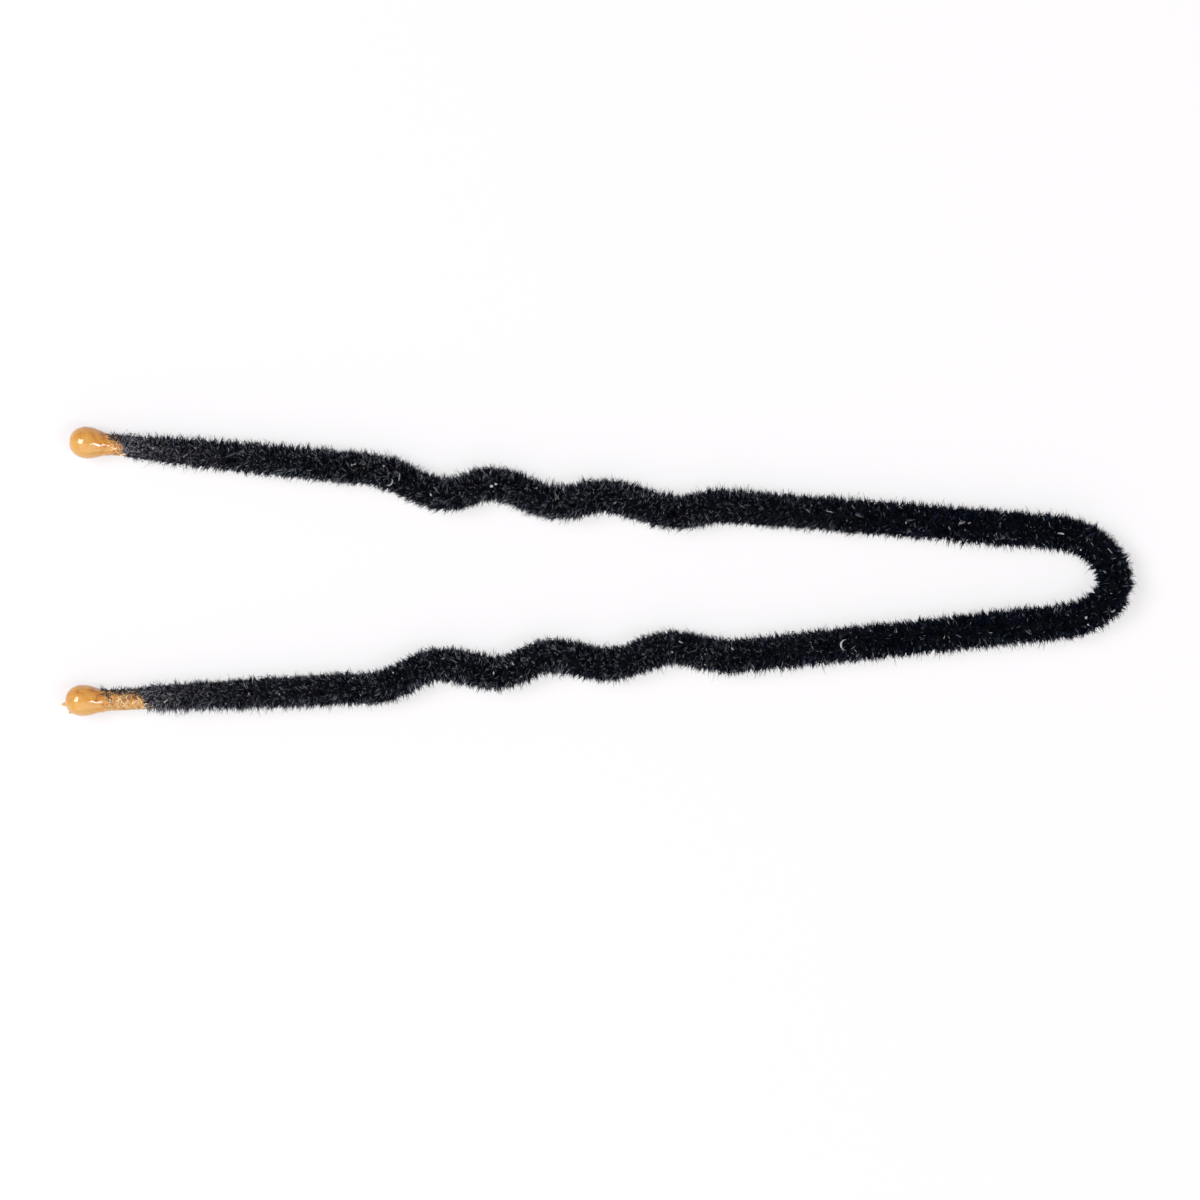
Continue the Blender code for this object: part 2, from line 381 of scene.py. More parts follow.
def crimp_offsets(leg, distances):
    """How far the wire bends inwards at each distance from the bow's end of the crimps."""
    length = leg.crimps[-1][0] * MM
    turning = sorted([(length, 0.0)] + [(length - along * MM, off * MM) for along, off in leg.crimps])
    places, depths = np.array(turning).T
    after = np.clip(np.searchsorted(places, distances, side="right"), 1, len(places) - 1)
    share = (distances - places[after - 1]) / (places[after] - places[after - 1])
    eased = 0.5 - 0.5 * np.cos(math.pi * share)
    return depths[after - 1] + eased * (depths[after] - depths[after - 1])


def leg_line(leg):
    """From the bow's end, down the leg to the wire's end."""
    start = bow_end(leg)
    along = heading(leg.inner_angle, leg.side)
    inner = start + steps_to(leg.inner_length) * along
    start = start + leg.inner_length * along
    along = heading(leg.crimp_angle, leg.side)
    length = leg.crimps[-1][0] * MM
    distances = steps_to(length)
    crimps = start + distances * along
    crimps += crimp_offsets(leg, distances) * inward(leg.crimp_angle, leg.side)
    start = start + length * along
    along = heading(leg.outer_angle, leg.side)
    outer = start + steps_to(leg.outer_length) * along
    end = start + leg.outer_length * along
    return Line(np.concatenate((inner, crimps, outer, [end])))


def bow_line():
    """From OVERRUN past the start of the left leg's pile, round the bow, to as far past the right's."""
    reach = steps_to(SPRING_ARM - BEND_REACH + OVERRUN) + LINE_STEP
    left = bow_end(LEFT_LEG) + reach * heading(LEFT_LEG.inner_angle, 1)
    points = [bow_end(LEFT_LEG)]
    facing = math.radians(-LEFT_LEG.inner_angle)
    for radius, turn in BOW_ARCS:
        steps = math.ceil(math.radians(turn) * radius / LINE_STEP)
        half = math.radians(turn) / steps / 2
        for _ in range(steps):
            way = np.array((math.cos(facing - half), math.sin(facing - half)))
            points.append(points[-1] + 2 * radius * math.sin(half) * way)
            facing -= 2 * half
    right = bow_end(RIGHT_LEG) + reach * heading(RIGHT_LEG.inner_angle, -1)
    return Line(np.concatenate((left[::-1], points, right)))


Stretch = namedtuple("Stretch", "name line start end leg skew")


def coat_start(leg):
    """How far from the wire's end the pile starts."""
    return DROP_TO_NECK + leg.neck_length


def stretches():
    """The three lengths of pile: each leg's reaches a little past its joint, and the bow's the rest."""
    bow = bow_line()
    found = [Stretch("bow", bow, OVERRUN, bow.length - OVERRUN, None, 0.0)]
    for leg in LEGS:
        line = leg_line(leg)
        end = line.length - coat_start(leg)
        start = SPRING_ARM - BEND_REACH
        found.append(Stretch(f"{leg.name}_leg", line, start, end, leg, TIPS[leg.name].skew))
    return found


def each_stretch(settings, layer):
    """The three lengths of pile, each with the random numbers that this layer draws from there."""
    for index, stretch in enumerate(stretches()):
        yield stretch, np.random.default_rng(settings.seed + SEED_STEPS[layer] + index)


def thinness(stretch, distances):
    """1 where the pile starts by the tip, falling to 0 where it is full."""
    if stretch.leg is None:
        return np.zeros_like(distances)
    return np.clip(1.0 - (stretch.end - distances) / PILE_TAPER, 0.0, 1.0)


def pile_radius(stretch, distances):
    thin = thinness(stretch, distances)
    return PILE_RADIUS - (PILE_RADIUS - PILE_RADIUS_AT_TIP) * thin**PILE_TAPER_CURVE


def tuft_radius(stretch, distances):
    """The pile's radius without its fringe, which is less in the first millimetres by the tip."""
    if stretch.leg is None:
        return pile_radius(stretch, distances)
    from_start = np.maximum(stretch.end - distances, 0.0)
    worn = TIPS[stretch.leg.name].worn * np.exp(-from_start / WORN_FALL)
    return pile_radius(stretch, distances) - worn


def brushed(stretch, distances, turns):
    """How far the hair has brushed the fibres to the right. It grows along a leg's outer stretch, and is
    most on the right face."""
    if stretch.leg is None:
        return np.zeros_like(distances)
    share = 1.0 - (stretch.end - distances) / (stretch.leg.outer_length - coat_start(stretch.leg))
    face = BRUSHED_ON_LEFT + (1.0 - BRUSHED_ON_LEFT) * (0.5 - 0.5 * np.cos(turns))
    return TIPS[stretch.leg.name].brushed * np.clip(share, 0.0, 1.0) * face


def dustiness(stretch, distances):
    """1 where the pile starts by the tip, falling to nothing by the bow."""
    if stretch.leg is None:
        return np.zeros_like(distances)
    all_along = DUST_SHARE * np.clip((distances - DUST_FROM) / (DUST_TO - DUST_FROM), 0.0, 1.0)
    return np.maximum(thinness(stretch, distances) ** DUST_FALL, all_along)


def inner_side(stretch, turns):
    """1 on a leg's inner face, falling to 0 along its top."""
    if stretch.leg is None:
        return np.zeros_like(turns)
    return np.maximum(-stretch.leg.side * np.cos(turns), 0.0)


def combing(stretch, turns):
    """How far towards the tip the fibres lean. The bow's stand square to it."""
    if stretch.leg is None:
        return np.zeros_like(turns)
    return COMB + INNER_COMBS[stretch.leg.name] * inner_side(stretch, turns)


def ground_share(stretch, distances):
    """1 along the pile, falling to 0 where it runs out over the neck."""
    if stretch.leg is None:
        return np.ones_like(distances)
    return np.clip(0.5 + (stretch.end - distances) / GROUND_RUNOUT, 0.0, 1.0)


def ground_radius(stretch, distances):
    """Without its lumps, and no more than the sleeve's bore where the ground has run out."""
    thin = thinness(stretch, distances)
    full = GROUND_RADIUS - (GROUND_RADIUS - GROUND_RADIUS_AT_TIP) * thin**GROUND_TAPER_CURVE
    return SLEEVE_BORE + (full - SLEEVE_BORE) * ground_share(stretch, distances)


def over_neck(stretch, turns):
    """How far the pile runs on past its end. It goes furthest along the left edge, where turn is 0."""
    return stretch.skew * (0.5 + 0.5 * np.cos(turns))


def noise_at(points, size):
    """Smooth noise from about -1 to 1 at each of these points, with swells of about this size."""
    return np.array([noise.noise(Vector(p) / size) for p in points])


def add_mesh(name, finish, points, triangles, corner_map=None, attributes=None, smooth=False):
    """Links a mesh of triangles. Its corner map says where each corner lies on a flat unit square."""
    mesh = bpy.data.meshes.new(name)
    mesh.vertices.add(len(points))
    mesh.vertices.foreach_set("co", points.astype(np.float32).ravel())
    mesh.loops.add(3 * len(triangles))
    mesh.loops.foreach_set("vertex_index", triangles.astype(np.int32).ravel())
    mesh.polygons.add(len(triangles))
    mesh.polygons.foreach_set("loop_start", np.arange(0, 3 * len(triangles), 3, dtype=np.int32))
    mesh.polygons.foreach_set("use_smooth", np.full(len(triangles), smooth))
    mesh.update(calc_edges=True)
    for key, values in (attributes or {}).items():
        made = mesh.attributes.new(key, "FLOAT", "POINT")
        made.data.foreach_set("value", values.astype(np.float32))
    if corner_map is not None:
        flat = mesh.uv_layers.new(name="OFBake")
        flat.data.foreach_set("uv", corner_map.astype(np.float32).ravel())
    mesh.materials.append(finish)
    obj = bpy.data.objects.new(name, mesh)
    bpy.context.scene.collection.objects.link(obj)
    return obj


def skin(rings, wrap=False):
    """Triangles over rings of points, facing out, with their corner map. A wrapped skin goes on from
    the last ring to the first. Otherwise the first and last rings are single points."""
    count, sides = rings.shape[:2]
    spans = count if wrap else count - 1
    ring, side = np.meshgrid(np.arange(spans), np.arange(sides), indexing="ij")
    ring, side = ring.ravel(), side.ravel()
    corners = np.array(((0, 0), (0, 1), (1, 1), (0, 0), (1, 1), (1, 0)))
    rows = ring[:, None] + corners[:, 0]
    columns = side[:, None] + corners[:, 1]
    if wrap:
        index = (rows % count) * sides + columns % sides
        points = rings.reshape(-1, 3)
    else:
        # the end rings are collapsed to one point each, so one triangle of each of their quads goes
        index = 1 + (rows - 1) * sides + columns % sides
        index[rows == 0] = 0
        last = 1 + (count - 2) * sides
        index[rows == count - 1] = last
        points = np.concatenate((rings[0, :1], rings[1:-1].reshape(-1, 3), rings[-1, :1]))
    triangles = index.reshape(-1, 3)
    flat = np.stack((rows / spans, columns / sides), axis=-1).reshape(-1, 3, 2)
    whole = np.array([len(set(t)) == 3 for t in triangles.tolist()])
    return points, triangles[whole], flat[whole]


# A fibre whose way goes further up or down than this, out of 1, is turned about another axis
STEEP = 0.8
# The share of a fibre's cell of the flat map that is left free on each side
CELL_MARGIN = 0.1


def blades(paths, radii, spins, sides=3):
    """Closed tapering fibres. paths is (fibres, steps, 3), and each fibre comes to a point at its last
    step and is turned by its spin. Returns points, triangles and the corner map, in which each fibre
    has a cell of its own."""
    count, steps = paths.shape[:2]
    way = paths[:, -1] - paths[:, 0]
    way /= np.linalg.norm(way, axis=1, keepdims=True)
    helper = np.where(np.abs(way[:, 2:]) > STEEP, (1.0, 0.0, 0.0), (0.0, 0.0, 1.0))
    across = np.cross(way, helper)
    across /= np.linalg.norm(across, axis=1, keepdims=True)
    over = np.cross(way, across)
    turn = (spins[:, None] + FULL_TURN * np.arange(sides) / sides)[..., None]
    rim = np.cos(turn) * across[:, None] + np.sin(turn) * over[:, None]
    rings = paths[:, :-1, None] + radii[:, :-1, None, None] * rim[:, None]
    points = np.concatenate((rings.reshape(count, -1, 3), paths[:, -1:]), axis=1)
    shape, flat = [], []
    for step in range(steps - 1):
        low, high = step / (steps - 1), (step + 1) / (steps - 1)
        for side in range(sides):
            after = (side + 1) % sides
            a, b = step * sides + side, step * sides + after
            left, right = side / sides, (side + 1) / sides
            if step == steps - 2:
                shape.append((a, b, (steps - 1) * sides))
                flat.append(((left, low), (right, low), (left, high)))
            else:
                shape += [(a, b, b + sides), (a, b + sides, a + sides)]
                flat += [
                    ((left, low), (right, low), (right, high)),
                    ((left, low), (right, high), (left, high)),
                ]
    # its foot is closed with triangles that share a sliver of the cell
    for side in range(1, sides - 1):
        shape.append((side + 1, side, 0))
        flat.append(((0.0, 0.0), (0.5, 0.0), (0.5, 0.1)))
    per_fibre = points.shape[1]
    triangles = np.arange(count)[:, None, None] * per_fibre + np.array(shape)
    cells = math.ceil(math.sqrt(count))
    cell = np.stack((np.arange(count) % cells, np.arange(count) // cells), axis=-1)
    inset = CELL_MARGIN + (1.0 - 2.0 * CELL_MARGIN) * np.array(flat)
    corner_map = (cell[:, None, None] + inset) / cells
    return points.reshape(-1, 3), triangles.reshape(-1, 3), corner_map.reshape(-1, 2)


def feed(tree, node, inputs):
    """Fills a node's inputs, each with a value or from the output socket that feeds it."""
    for name, value in inputs.items():
        if isinstance(value, bpy.types.NodeSocket):
            tree.links.new(value, node.inputs[name])
        else:
            node.inputs[name].default_value = value


def add_node(tree, kind, settings=None, inputs=None, stops=()):
    """Adds a shader node. The stops are a colour ramp's."""
    made = tree.nodes.new(kind)
    for name, value in (settings or {}).items():
        setattr(made, name, value)
    feed(tree, made, inputs or {})
    for index, (place, colour) in enumerate(stops):
        ramp = made.color_ramp.elements
        stop = ramp[index] if index < len(ramp) else ramp.new(place)
        stop.position = place
        stop.color = (*colour, 1.0)
    return made


def empty_tree(owner):
    """The node tree of a material or a world, with nothing in it."""
    owner.use_nodes = True
    owner.node_tree.nodes.clear()
    return owner.node_tree


def new_material(name):
    """A material, its node tree and its Principled shader."""
    made = bpy.data.materials.new(name)
    tree = empty_tree(made)
    shader = add_node(tree, "ShaderNodeBsdfPrincipled")
    add_node(tree, "ShaderNodeOutputMaterial", inputs={"Surface": shader.outputs["BSDF"]})
    return made, tree, shader


def places_in_mm(tree, stretch=(1.0, 1.0, 1.0)):
    """Where each point of the surface lies, in millimetres, so that a texture's scale is one over its
    grain in millimetres. A stretch under 1 draws the pattern out along that axis."""
    place = add_node(tree, "ShaderNodeTexCoord")
    scaled = add_node(
        tree,
        "ShaderNodeMapping",
        inputs={"Vector": place.outputs["Object"], "Scale": [s / MM for s in stretch]},
    )
    return scaled.outputs["Vector"]


def mottled(tree, grain, detail, stops, stretch=(1.0, 1.0, 1.0)):
    """A colour that varies from place to place, in grains of this many millimetres."""
    grains = add_node(
        tree,
        "ShaderNodeTexNoise",
        inputs={"Vector": places_in_mm(tree, stretch), "Scale": 1 / grain, "Detail": detail},
    )
    tone = add_node(tree, "ShaderNodeValToRGB", inputs={"Fac": grains.outputs["Fac"]}, stops=stops)
    return tone.outputs["Color"]


# A colour Mix node's colour sockets, by number, since others share their names: two in and one out
MIX_A, MIX_B, MIX_RESULT = 6, 7, 2


def by_point(tree, attribute, low, high):
    """A colour from the first of these to the second, by this attribute of each point of the mesh."""
    share = add_node(tree, "ShaderNodeAttribute", {"attribute_name": attribute})
    mixed = add_node(
        tree,
        "ShaderNodeMix",
        {"data_type": "RGBA"},
        {"Factor": share.outputs["Fac"], MIX_A: low, MIX_B: high},
    )
    return mixed.outputs[MIX_RESULT]


def drawn_steel():
    """Hard-drawn spring steel: a dull grey, with fine bright lines where the die dragged."""
    made, tree, shader = new_material("drawn_spring_steel")
    # the die's lines are about 0.01 mm apart, too fine to show, and are drawn 0.05 mm apart
    stops = ((0.3, linear("#8E8D8B")), (0.7, linear("#B9B8B5")))
    lines = mottled(tree, 0.05, 3.0, stops, stretch=(0.1, 1.0, 1.0))
    feed(tree, shader, {"Base Color": lines, "Metallic": 1.0, "Roughness": 0.32})
    return made


def flocking_adhesive():
    """Brushed-on black acrylic adhesive: matt, with a slight tooth where the fibres' feet sit."""
    made, tree, shader = new_material("flocking_adhesive")
    # the feet are about 0.03 mm across, too fine to show, and their tooth is drawn 0.08 mm across
    grain = add_node(
        tree,
        "ShaderNodeTexNoise",
        inputs={"Vector": places_in_mm(tree), "Scale": 1 / 0.08, "Detail": 2.0},
    )
    tone = add_node(
        tree,
        "ShaderNodeValToRGB",
        inputs={"Fac": grain.outputs["Fac"]},
        stops=((0.35, linear("#141417")), (0.65, linear("#2A2A2E"))),
    )
    bump = add_node(
        tree,
        "ShaderNodeBump",
        inputs={"Height": grain.outputs["Fac"], "Distance": 0.02 * MM, "Strength": 0.6},
    )
    feed(
        tree,
        shader,
        {"Base Color": tone.outputs["Color"], "Normal": bump.outputs["Normal"], "Roughness": 0.7},
    )
    return made


def nylon_flock(settings):
    """Cut nylon flock, dyed black: a dull sheen, each fibre its own black with a cast of blue, green or
    plum, a few pale ones that are painted glints, and dusty grey by the tips. Each fibre is painted
    darker towards its foot, a painted shade."""
    made, tree, shader = new_material("cut_nylon_flock")
    tone = add_node(tree, "ShaderNodeAttribute", {"attribute_name": "tone"})
    # each fibre's dye, at random, and at the top of the ramp a few pale ones that stand for glints:
    # painted highlight
    dyes_and_painted_glints = add_node(
        tree,
        "ShaderNodeValToRGB",
        inputs={"Fac": tone.outputs["Fac"]},
        stops=(
            (0.0, tuple(settings.black)),
            (0.45, linear("#050A18")),
            (0.6, linear("#081E26")),
            (0.72, linear("#1E1430")),
            (0.84, linear("#1E2C48")),
            (0.93, linear("#444E62")),
            (0.98, linear("#98A2B0")),
            (1.0, linear("#E0E4EA")),
        ),
    )
    dusted = by_point(tree, "dusty", dyes_and_painted_glints.outputs["Color"], (*settings.grey, 1.0))
    # painted shade: each fibre fades to black towards its foot, down in the pile where little light gets
    painted_foot_shade = by_point(tree, "height", (*settings.black, 1.0), dusted)
    feed(tree, shader, {"Base Color": painted_foot_shade, "Roughness": 0.4, "Specular IOR Level": 0.06})
    return made


def flock_ground():
    """The foot of the flock: blacker than the fibres, since little light gets down between them."""
    made, tree, shader = new_material("flock_ground")
    # the feet of fibres, as coarse as the pile's are drawn, and patches of dust 0.15 mm across
    clean = mottled(tree, 0.06, 2.0, ((0.4, linear("#030304")), (0.7, linear("#0B0C10"))))
    matted = mottled(tree, 0.15, 3.0, ((0.45, linear("#060608")), (0.62, linear("#6C6A70"))))
    tone = by_point(tree, "dusty", clean, matted)
    feed(tree, shader, {"Base Color": tone, "Roughness": 0.95, "Specular IOR Level": 0.1})
    return made


def amber_lacquer(settings):
    """Dipped amber lacquer: glossy, cloudy, with faint rings across it where it ran and set. The drop is
    painted paler on its right side, which faces the window: painted light. The neck is painted deeper
    along its left side: painted shade."""
    made, tree, shader = new_material("dipped_amber_lacquer")
    # clouds about 0.4 mm across, and rings 0.14 mm apart
    cloud = add_node(
        tree,
        "ShaderNodeTexNoise",
        inputs={"Vector": places_in_mm(tree), "Scale": 1 / 0.4, "Detail": 3.0},
    )
    rings = add_node(
        tree,
        "ShaderNodeTexNoise",
        inputs={"Vector": places_in_mm(tree, (1.0, 0.15, 0.15)), "Scale": 1 / 0.14, "Detail": 2.0},
    )
    # painted light and shade, kept on the mesh: paler on the drop's right side, deeper along the neck's
    # left
    thick = add_node(tree, "ShaderNodeAttribute", {"attribute_name": "thick"})
    milk_and_painted_light = cloud.outputs["Fac"]
    for source, share in ((rings, 0.25), (thick, 0.5)):
        more_milk_and_painted_light = add_node(
            tree,
            "ShaderNodeMath",
            {"operation": "MULTIPLY_ADD"},
            {0: source.outputs["Fac"], 1: share, 2: milk_and_painted_light},
        )
        milk_and_painted_light = more_milk_and_painted_light.outputs["Value"]
    # the neck's painted shade pulls towards the brown stops, and the drop's painted light towards honey
    tone = add_node(
        tree,
        "ShaderNodeValToRGB",
        inputs={"Fac": milk_and_painted_light},
        stops=(
            (0.38, linear("#6E3A14")),
            (0.52, linear("#B86A06")),
            (0.66, tuple(settings.amber)),
            (0.98, tuple(settings.honey)),
        ),
    )
    inputs = {
        "Base Color": tone.outputs["Color"],
        "Roughness": 0.1,
        "IOR": 1.54,
        "Coat Weight": 0.8,
        "Coat Roughness": 0.04,
        "Subsurface Weight": 0.12,
        "Subsurface Radius": (1.0, 0.45, 0.15),
        "Subsurface Scale": 0.3 * MM,
    }
    feed(tree, shader, inputs)
    return made


def lacquered_flock():
    """Flock fibres under the lacquer of a neck: wet, honey to cream with some brown, and painted browner
    on the neck's left side: a painted shade.
    """
    made, tree, shader = new_material("lacquered_flock")
    tone = add_node(tree, "ShaderNodeAttribute", {"attribute_name": "tone"})
    shades = add_node(
        tree,
        "ShaderNodeValToRGB",
        inputs={"Fac": tone.outputs["Fac"]},
        stops=(
            (0.0, linear("#4A2E1A")),
            (0.3, linear("#9A6A34")),
            (0.55, linear("#CFA05A")),
            (0.8, linear("#E8CC94")),
            (1.0, linear("#F8E8C6")),
        ),
    )
    feed(tree, shader, {"Base Color": shades.outputs["Color"], "Roughness": 0.25})
    return made


def house_dust(settings):
    """House dust: matt lint, from a dark grey to a pale one with a warm or a cool cast."""
    made, tree, shader = new_material("house_dust")
    # clumps about 0.2 mm across
    pale = mottled(tree, 0.2, 2.0, ((0.3, linear("#8C8480")), (0.55, tuple(settings.dust))))
    tone = by_point(tree, "pale", (*linear("#1C1C20"), 1.0), pale)
    feed(tree, shader, {"Base Color": tone, "Roughness": 0.9})
    return made


def dress(layer, finish):
    """Gives the three frame nodes of this layer their finish, all over."""
    for length in ("bow", "left_leg", "right_leg"):
        materials = frame["nodes"][f"{layer}_{length}"].data.materials
        materials.clear()
        materials.append(finish)


def nearest_tufts(along, around, places):
    """The tuft that each fibre belongs to, as its row, its column and the place of its middle, all in
    tufts. places says where the middle of each tuft lies in its own square."""
    rows, columns = places.shape[:2]
    near = np.array([(i, j) for i in (-1, 0, 1) for j in (-1, 0, 1)])
    row = np.clip(along.astype(int)[:, None] + near[:, 0], 0, rows - 1)
    column = around.astype(int)[:, None] + near[:, 1]
    middles = np.stack((row, column), axis=-1) + places[row, column % columns]
    far = np.linalg.norm(middles - np.stack((along, around), axis=-1)[:, None], axis=-1)
    each, best = np.arange(len(along)), far.argmin(axis=1)
    return row[each, best], column[each, best] % columns, middles[each, best]


def pile_span(stretch):
    """The length of line that fibres are sown on."""
    return stretch.end + stretch.skew - stretch.start


def sow(stretch, rng, per_mm2):
    """Where fibres stand, down the line and round it. They thin out towards the tip."""
    span = pile_span(stretch)
    count = int(span * FULL_TURN * PILE_RADIUS / MM**2 * per_mm2)
    along = stretch.start + rng.uniform(0.0, span, count)
    turn = rng.uniform(0.0, FULL_TURN, count)
    edge = stretch.end + over_neck(stretch, turn) + rng.normal(0.0, RAGGED, count)
    kept = (stretch.leg is None) | (along < edge)
    kept &= rng.uniform(0.0, 1.0, count) > THINNING * thinness(stretch, along) ** THINNING_FALL
    return along[kept], turn[kept]


def grow(stretch, settings, rng, kind, per_mm2, width, surface):
    """Fibres of one kind over a stretch of pile, whose radius surface gives: their mesh and its
    attributes."""
    along, turn = sow(stretch, rng, per_mm2)
    thin = thinness(stretch, along)
    count = len(along)

    # fibres stand in tufts, each with its own lean and height
    rows = int(pile_span(stretch) / settings.tuft) + 1
    columns = round(FULL_TURN * PILE_RADIUS / settings.tuft)
    places = rng.uniform(0.0, 1.0, (rows, columns, 2))
    leans = rng.normal(0.0, TUFT_LEAN, (rows, columns, 2))
    heights = rng.normal(1.0, TUFT_UNEVENNESS, (rows, columns))
    row, column, middle = nearest_tufts(
        (along - stretch.start) / settings.tuft, turn / FULL_TURN * columns, places
    )
    tuft_along = stretch.start + middle[:, 0] * settings.tuft
    tuft_turn = middle[:, 1] / columns * FULL_TURN
    gather = rng.uniform(TUFT_GATHER, 1.0, count)
    sprawl = 1.0 + (SPRAWL - 1.0) * thin[:, None] ** THINNING_FALL
    stray = leans[row, column] + rng.normal(0.0, kind.lean, (count, 2)) * sprawl
    tip_along = along + gather * (tuft_along - along) + stray[:, 0] + combing(stretch, turn)
    tip_turn = turn + gather * (tuft_turn - turn) + stray[:, 1] / PILE_RADIUS
    least, most = kind.reach
    share = least + (most - least) * rng.uniform(0.0, 1.0, count) ** REACH_BIAS
    share *= heights[row, column] * (1.0 - INNER_WEAR * inner_side(stretch, turn))

    tips = stretch.line.around(tip_along, tip_turn, surface(stretch, along) * share)
    tips[:, 1] -= brushed(stretch, along, turn)
    roots = stretch.line.around(along, turn, ground_radius(stretch, along) - kind.root)
    length = np.linalg.norm(tips - roots, axis=1)[:, None, None]
    part = np.linspace(0.0, 1.0, kind.points)[None, :, None]
    paths = roots[:, None] + part * (tips - roots)[:, None]
    if kind.points > 2:
        paths += np.sin(math.pi * part) * length * rng.normal(0.0, FIBRE_BEND, (count, 1, 3))
    paths[..., 2] = np.maximum(paths[..., 2], FLOOR_GAP)
    widths = width * rng.uniform(*FIBRE_WIDTHS, count) * (1.0 - SLENDER * thin**DUST_FALL)

    # dust lies thick on a few fibres and thinly on the rest
    shared = rng.uniform(0.0, 1.0, (rows, columns, 2))[row, column]
    alone = rng.uniform(0.0, 1.0, (count, 2))
    tone, dust = np.where(rng.uniform(0.0, 1.0, (count, 1)) < TUFT_ALIKE, shared, alone).T
    patches = DUST_PATCHES + (DUST_PATCHES_AT_TIP - DUST_PATCHES) * thin**DUST_FALL
    settled = np.minimum(DUST_COVER * dust**patches, 1.0)
    darkest, palest = kind.tones
    tone = darkest + (palest - darkest) * tone
    return fibre_mesh(paths, widths, rng, dustiness(stretch, along) * settled, tone)


def fibre_mesh(paths, widths, rng, dusty, tone):
    """Points, triangles, corner map and attributes of tapering fibres along these paths."""
    count, steps = paths.shape[:2]
    radii = widths[:, None] / 2 * np.linspace(1.0, FIBRE_TAPER, steps)
    points, triangles, corner_map = blades(paths, radii, rng.uniform(0.0, FULL_TURN, count))
    per_fibre = len(points) // count
    height = np.repeat(np.linspace(0.0, 1.0, steps), [3] * (steps - 1) + [1])
    attributes = {
        "tone": np.repeat(tone, per_fibre),
        "dusty": np.repeat(np.broadcast_to(dusty, (count,)), per_fibre),
        "height": np.tile(height, count),
    }
    return points, triangles, corner_map, attributes


def strewn(line, surface, along, turn, length, facing, curl, lift, steps):
    """Paths of fibres that lie on a surface round a line. A facing of 0 runs along the line, and a path
    turns by its curl on its way. Its far end lifts off the surface, but nothing sinks into the floor."""
    part = np.linspace(0.0, 1.0, steps)
    ways = facing[:, None] + curl[:, None] * part
    step = length[:, None] / (steps - 1)
    ahead = along[:, None] + np.cumsum(np.cos(ways), axis=1) * step
    radii = surface(ahead)
    aside = turn[:, None] + np.cumsum(np.sin(ways), axis=1) * step / radii
    paths = line.around(ahead, aside, radii + lift[:, None] * part**2)
    paths[..., 2] = np.maximum(paths[..., 2], FLOOR_GAP)
    return paths


def hold(obj, stretch):
    """The bow's pile rides on the bow, and a leg's pile stays where it lies."""
    if stretch.leg is None:
        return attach(obj, "bow")
    pivot = Vector(joint_of(stretch.leg)["pos_m"])
    away = Vector((*heading(stretch.leg.inner_angle, stretch.leg.side), 0.0)) * BEND_REACH
    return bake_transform(obj)


class HAIRPIN_OT_draw_wire(bpy.types.Operator):
    """Gives the wire its drawn steel finish."""

    bl_idname = "hairpin.draw_wire"
    bl_label = "Draw wire"

    def execute(self, context):
        dress("wire", drawn_steel())
        return {"FINISHED"}


class HAIRPIN_OT_coat_wire(bpy.types.Operator):
    """Gives the adhesive its matt black finish."""

    bl_idname = "hairpin.coat_wire"
    bl_label = "Coat wire"

    def execute(self, context):
        dress("adhesive", flocking_adhesive())
        return {"FINISHED"}


def ground_rings(stretch):
    """The ground's rings of points, out along its sleeve's outside and back along its bore, and how
    dusty each point is."""
    count = math.ceil((stretch.end - stretch.start) / GROUND_RING_STEP)
    turns = np.linspace(0.0, FULL_TURN, GROUND_SIDES, endpoint=False)[None]
    lap = 0.0 * turns
    if stretch.leg:
        circle = np.stack((np.cos(turns[0]), np.sin(turns[0]), 0.0 * turns[0]), axis=1)
        rags = noise_at(circle, 1 / GROUND_RAG_CIRCLE)
        lap = GROUND_LAP + GROUND_FOLLOWS * over_neck(stretch, turns) + GROUND_RAGGED * rags
    share = np.linspace(0.0, 1.0, count)[:, None]
    distances = stretch.start + share * (stretch.end + lap - stretch.start)
    turns = np.broadcast_to(turns, distances.shape)
    radii = ground_radius(stretch, distances)
    smooth = stretch.line.around(distances, turns, radii)
    lumps = noise_at(smooth.reshape(-1, 3), GROUND_LUMP_SIZE).reshape(radii.shape)
    radii = radii + GROUND_LUMP_HEIGHT * lumps * ground_share(stretch, distances)
    # the sleeve's wall keeps some thickness where it runs out
    radii = np.maximum(radii, SLEEVE_BORE + GROUND_LEAST_WALL)
    outer = stretch.line.around(distances, turns, radii)
    inner = stretch.line.around(distances, turns, np.full(radii.shape, SLEEVE_BORE))
    dusty = thinness(stretch, distances) ** DUST_FALL
    return np.concatenate((outer, inner[::-1])), np.concatenate((dusty, dusty[::-1]))


class HAIRPIN_OT_lay_ground(bpy.types.Operator):
    """Lays the dense foot of the pile, a lumpy sleeve that the fibres stand out of."""

    bl_idname = "hairpin.lay_ground"
    bl_label = "Lay pile ground"

    def execute(self, context):
        finish = flock_ground()
        for stretch in stretches():
            rings, dusty = ground_rings(stretch)
            shape = skin(rings, wrap=True)
            name = f"pile_ground_{stretch.name}"
            ground = add_mesh(name, finish, *shape, {"dusty": dusty.ravel()}, smooth=True)
            hold(ground, stretch)
        return {"FINISHED"}


class HAIRPIN_OT_grow_pile(bpy.types.Operator):
    """Grows the pile: short stout fibres that lean together in small tufts."""

    bl_idname = "hairpin.grow_pile"
    bl_label = "Grow pile"

    def execute(self, context):
        settings = context.scene.hairpin_pile
        finish = nylon_flock(settings)
        for stretch, rng in each_stretch(settings, "pile"):
            made = grow(
                stretch, settings, rng, PILE, settings.fibres, settings.fibre_width, tuft_radius
            )
            pile = add_mesh(f"pile_{stretch.name}", finish, *made)
            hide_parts(f"flock_{stretch.name}")
            hold(pile, stretch)
        return {"FINISHED"}


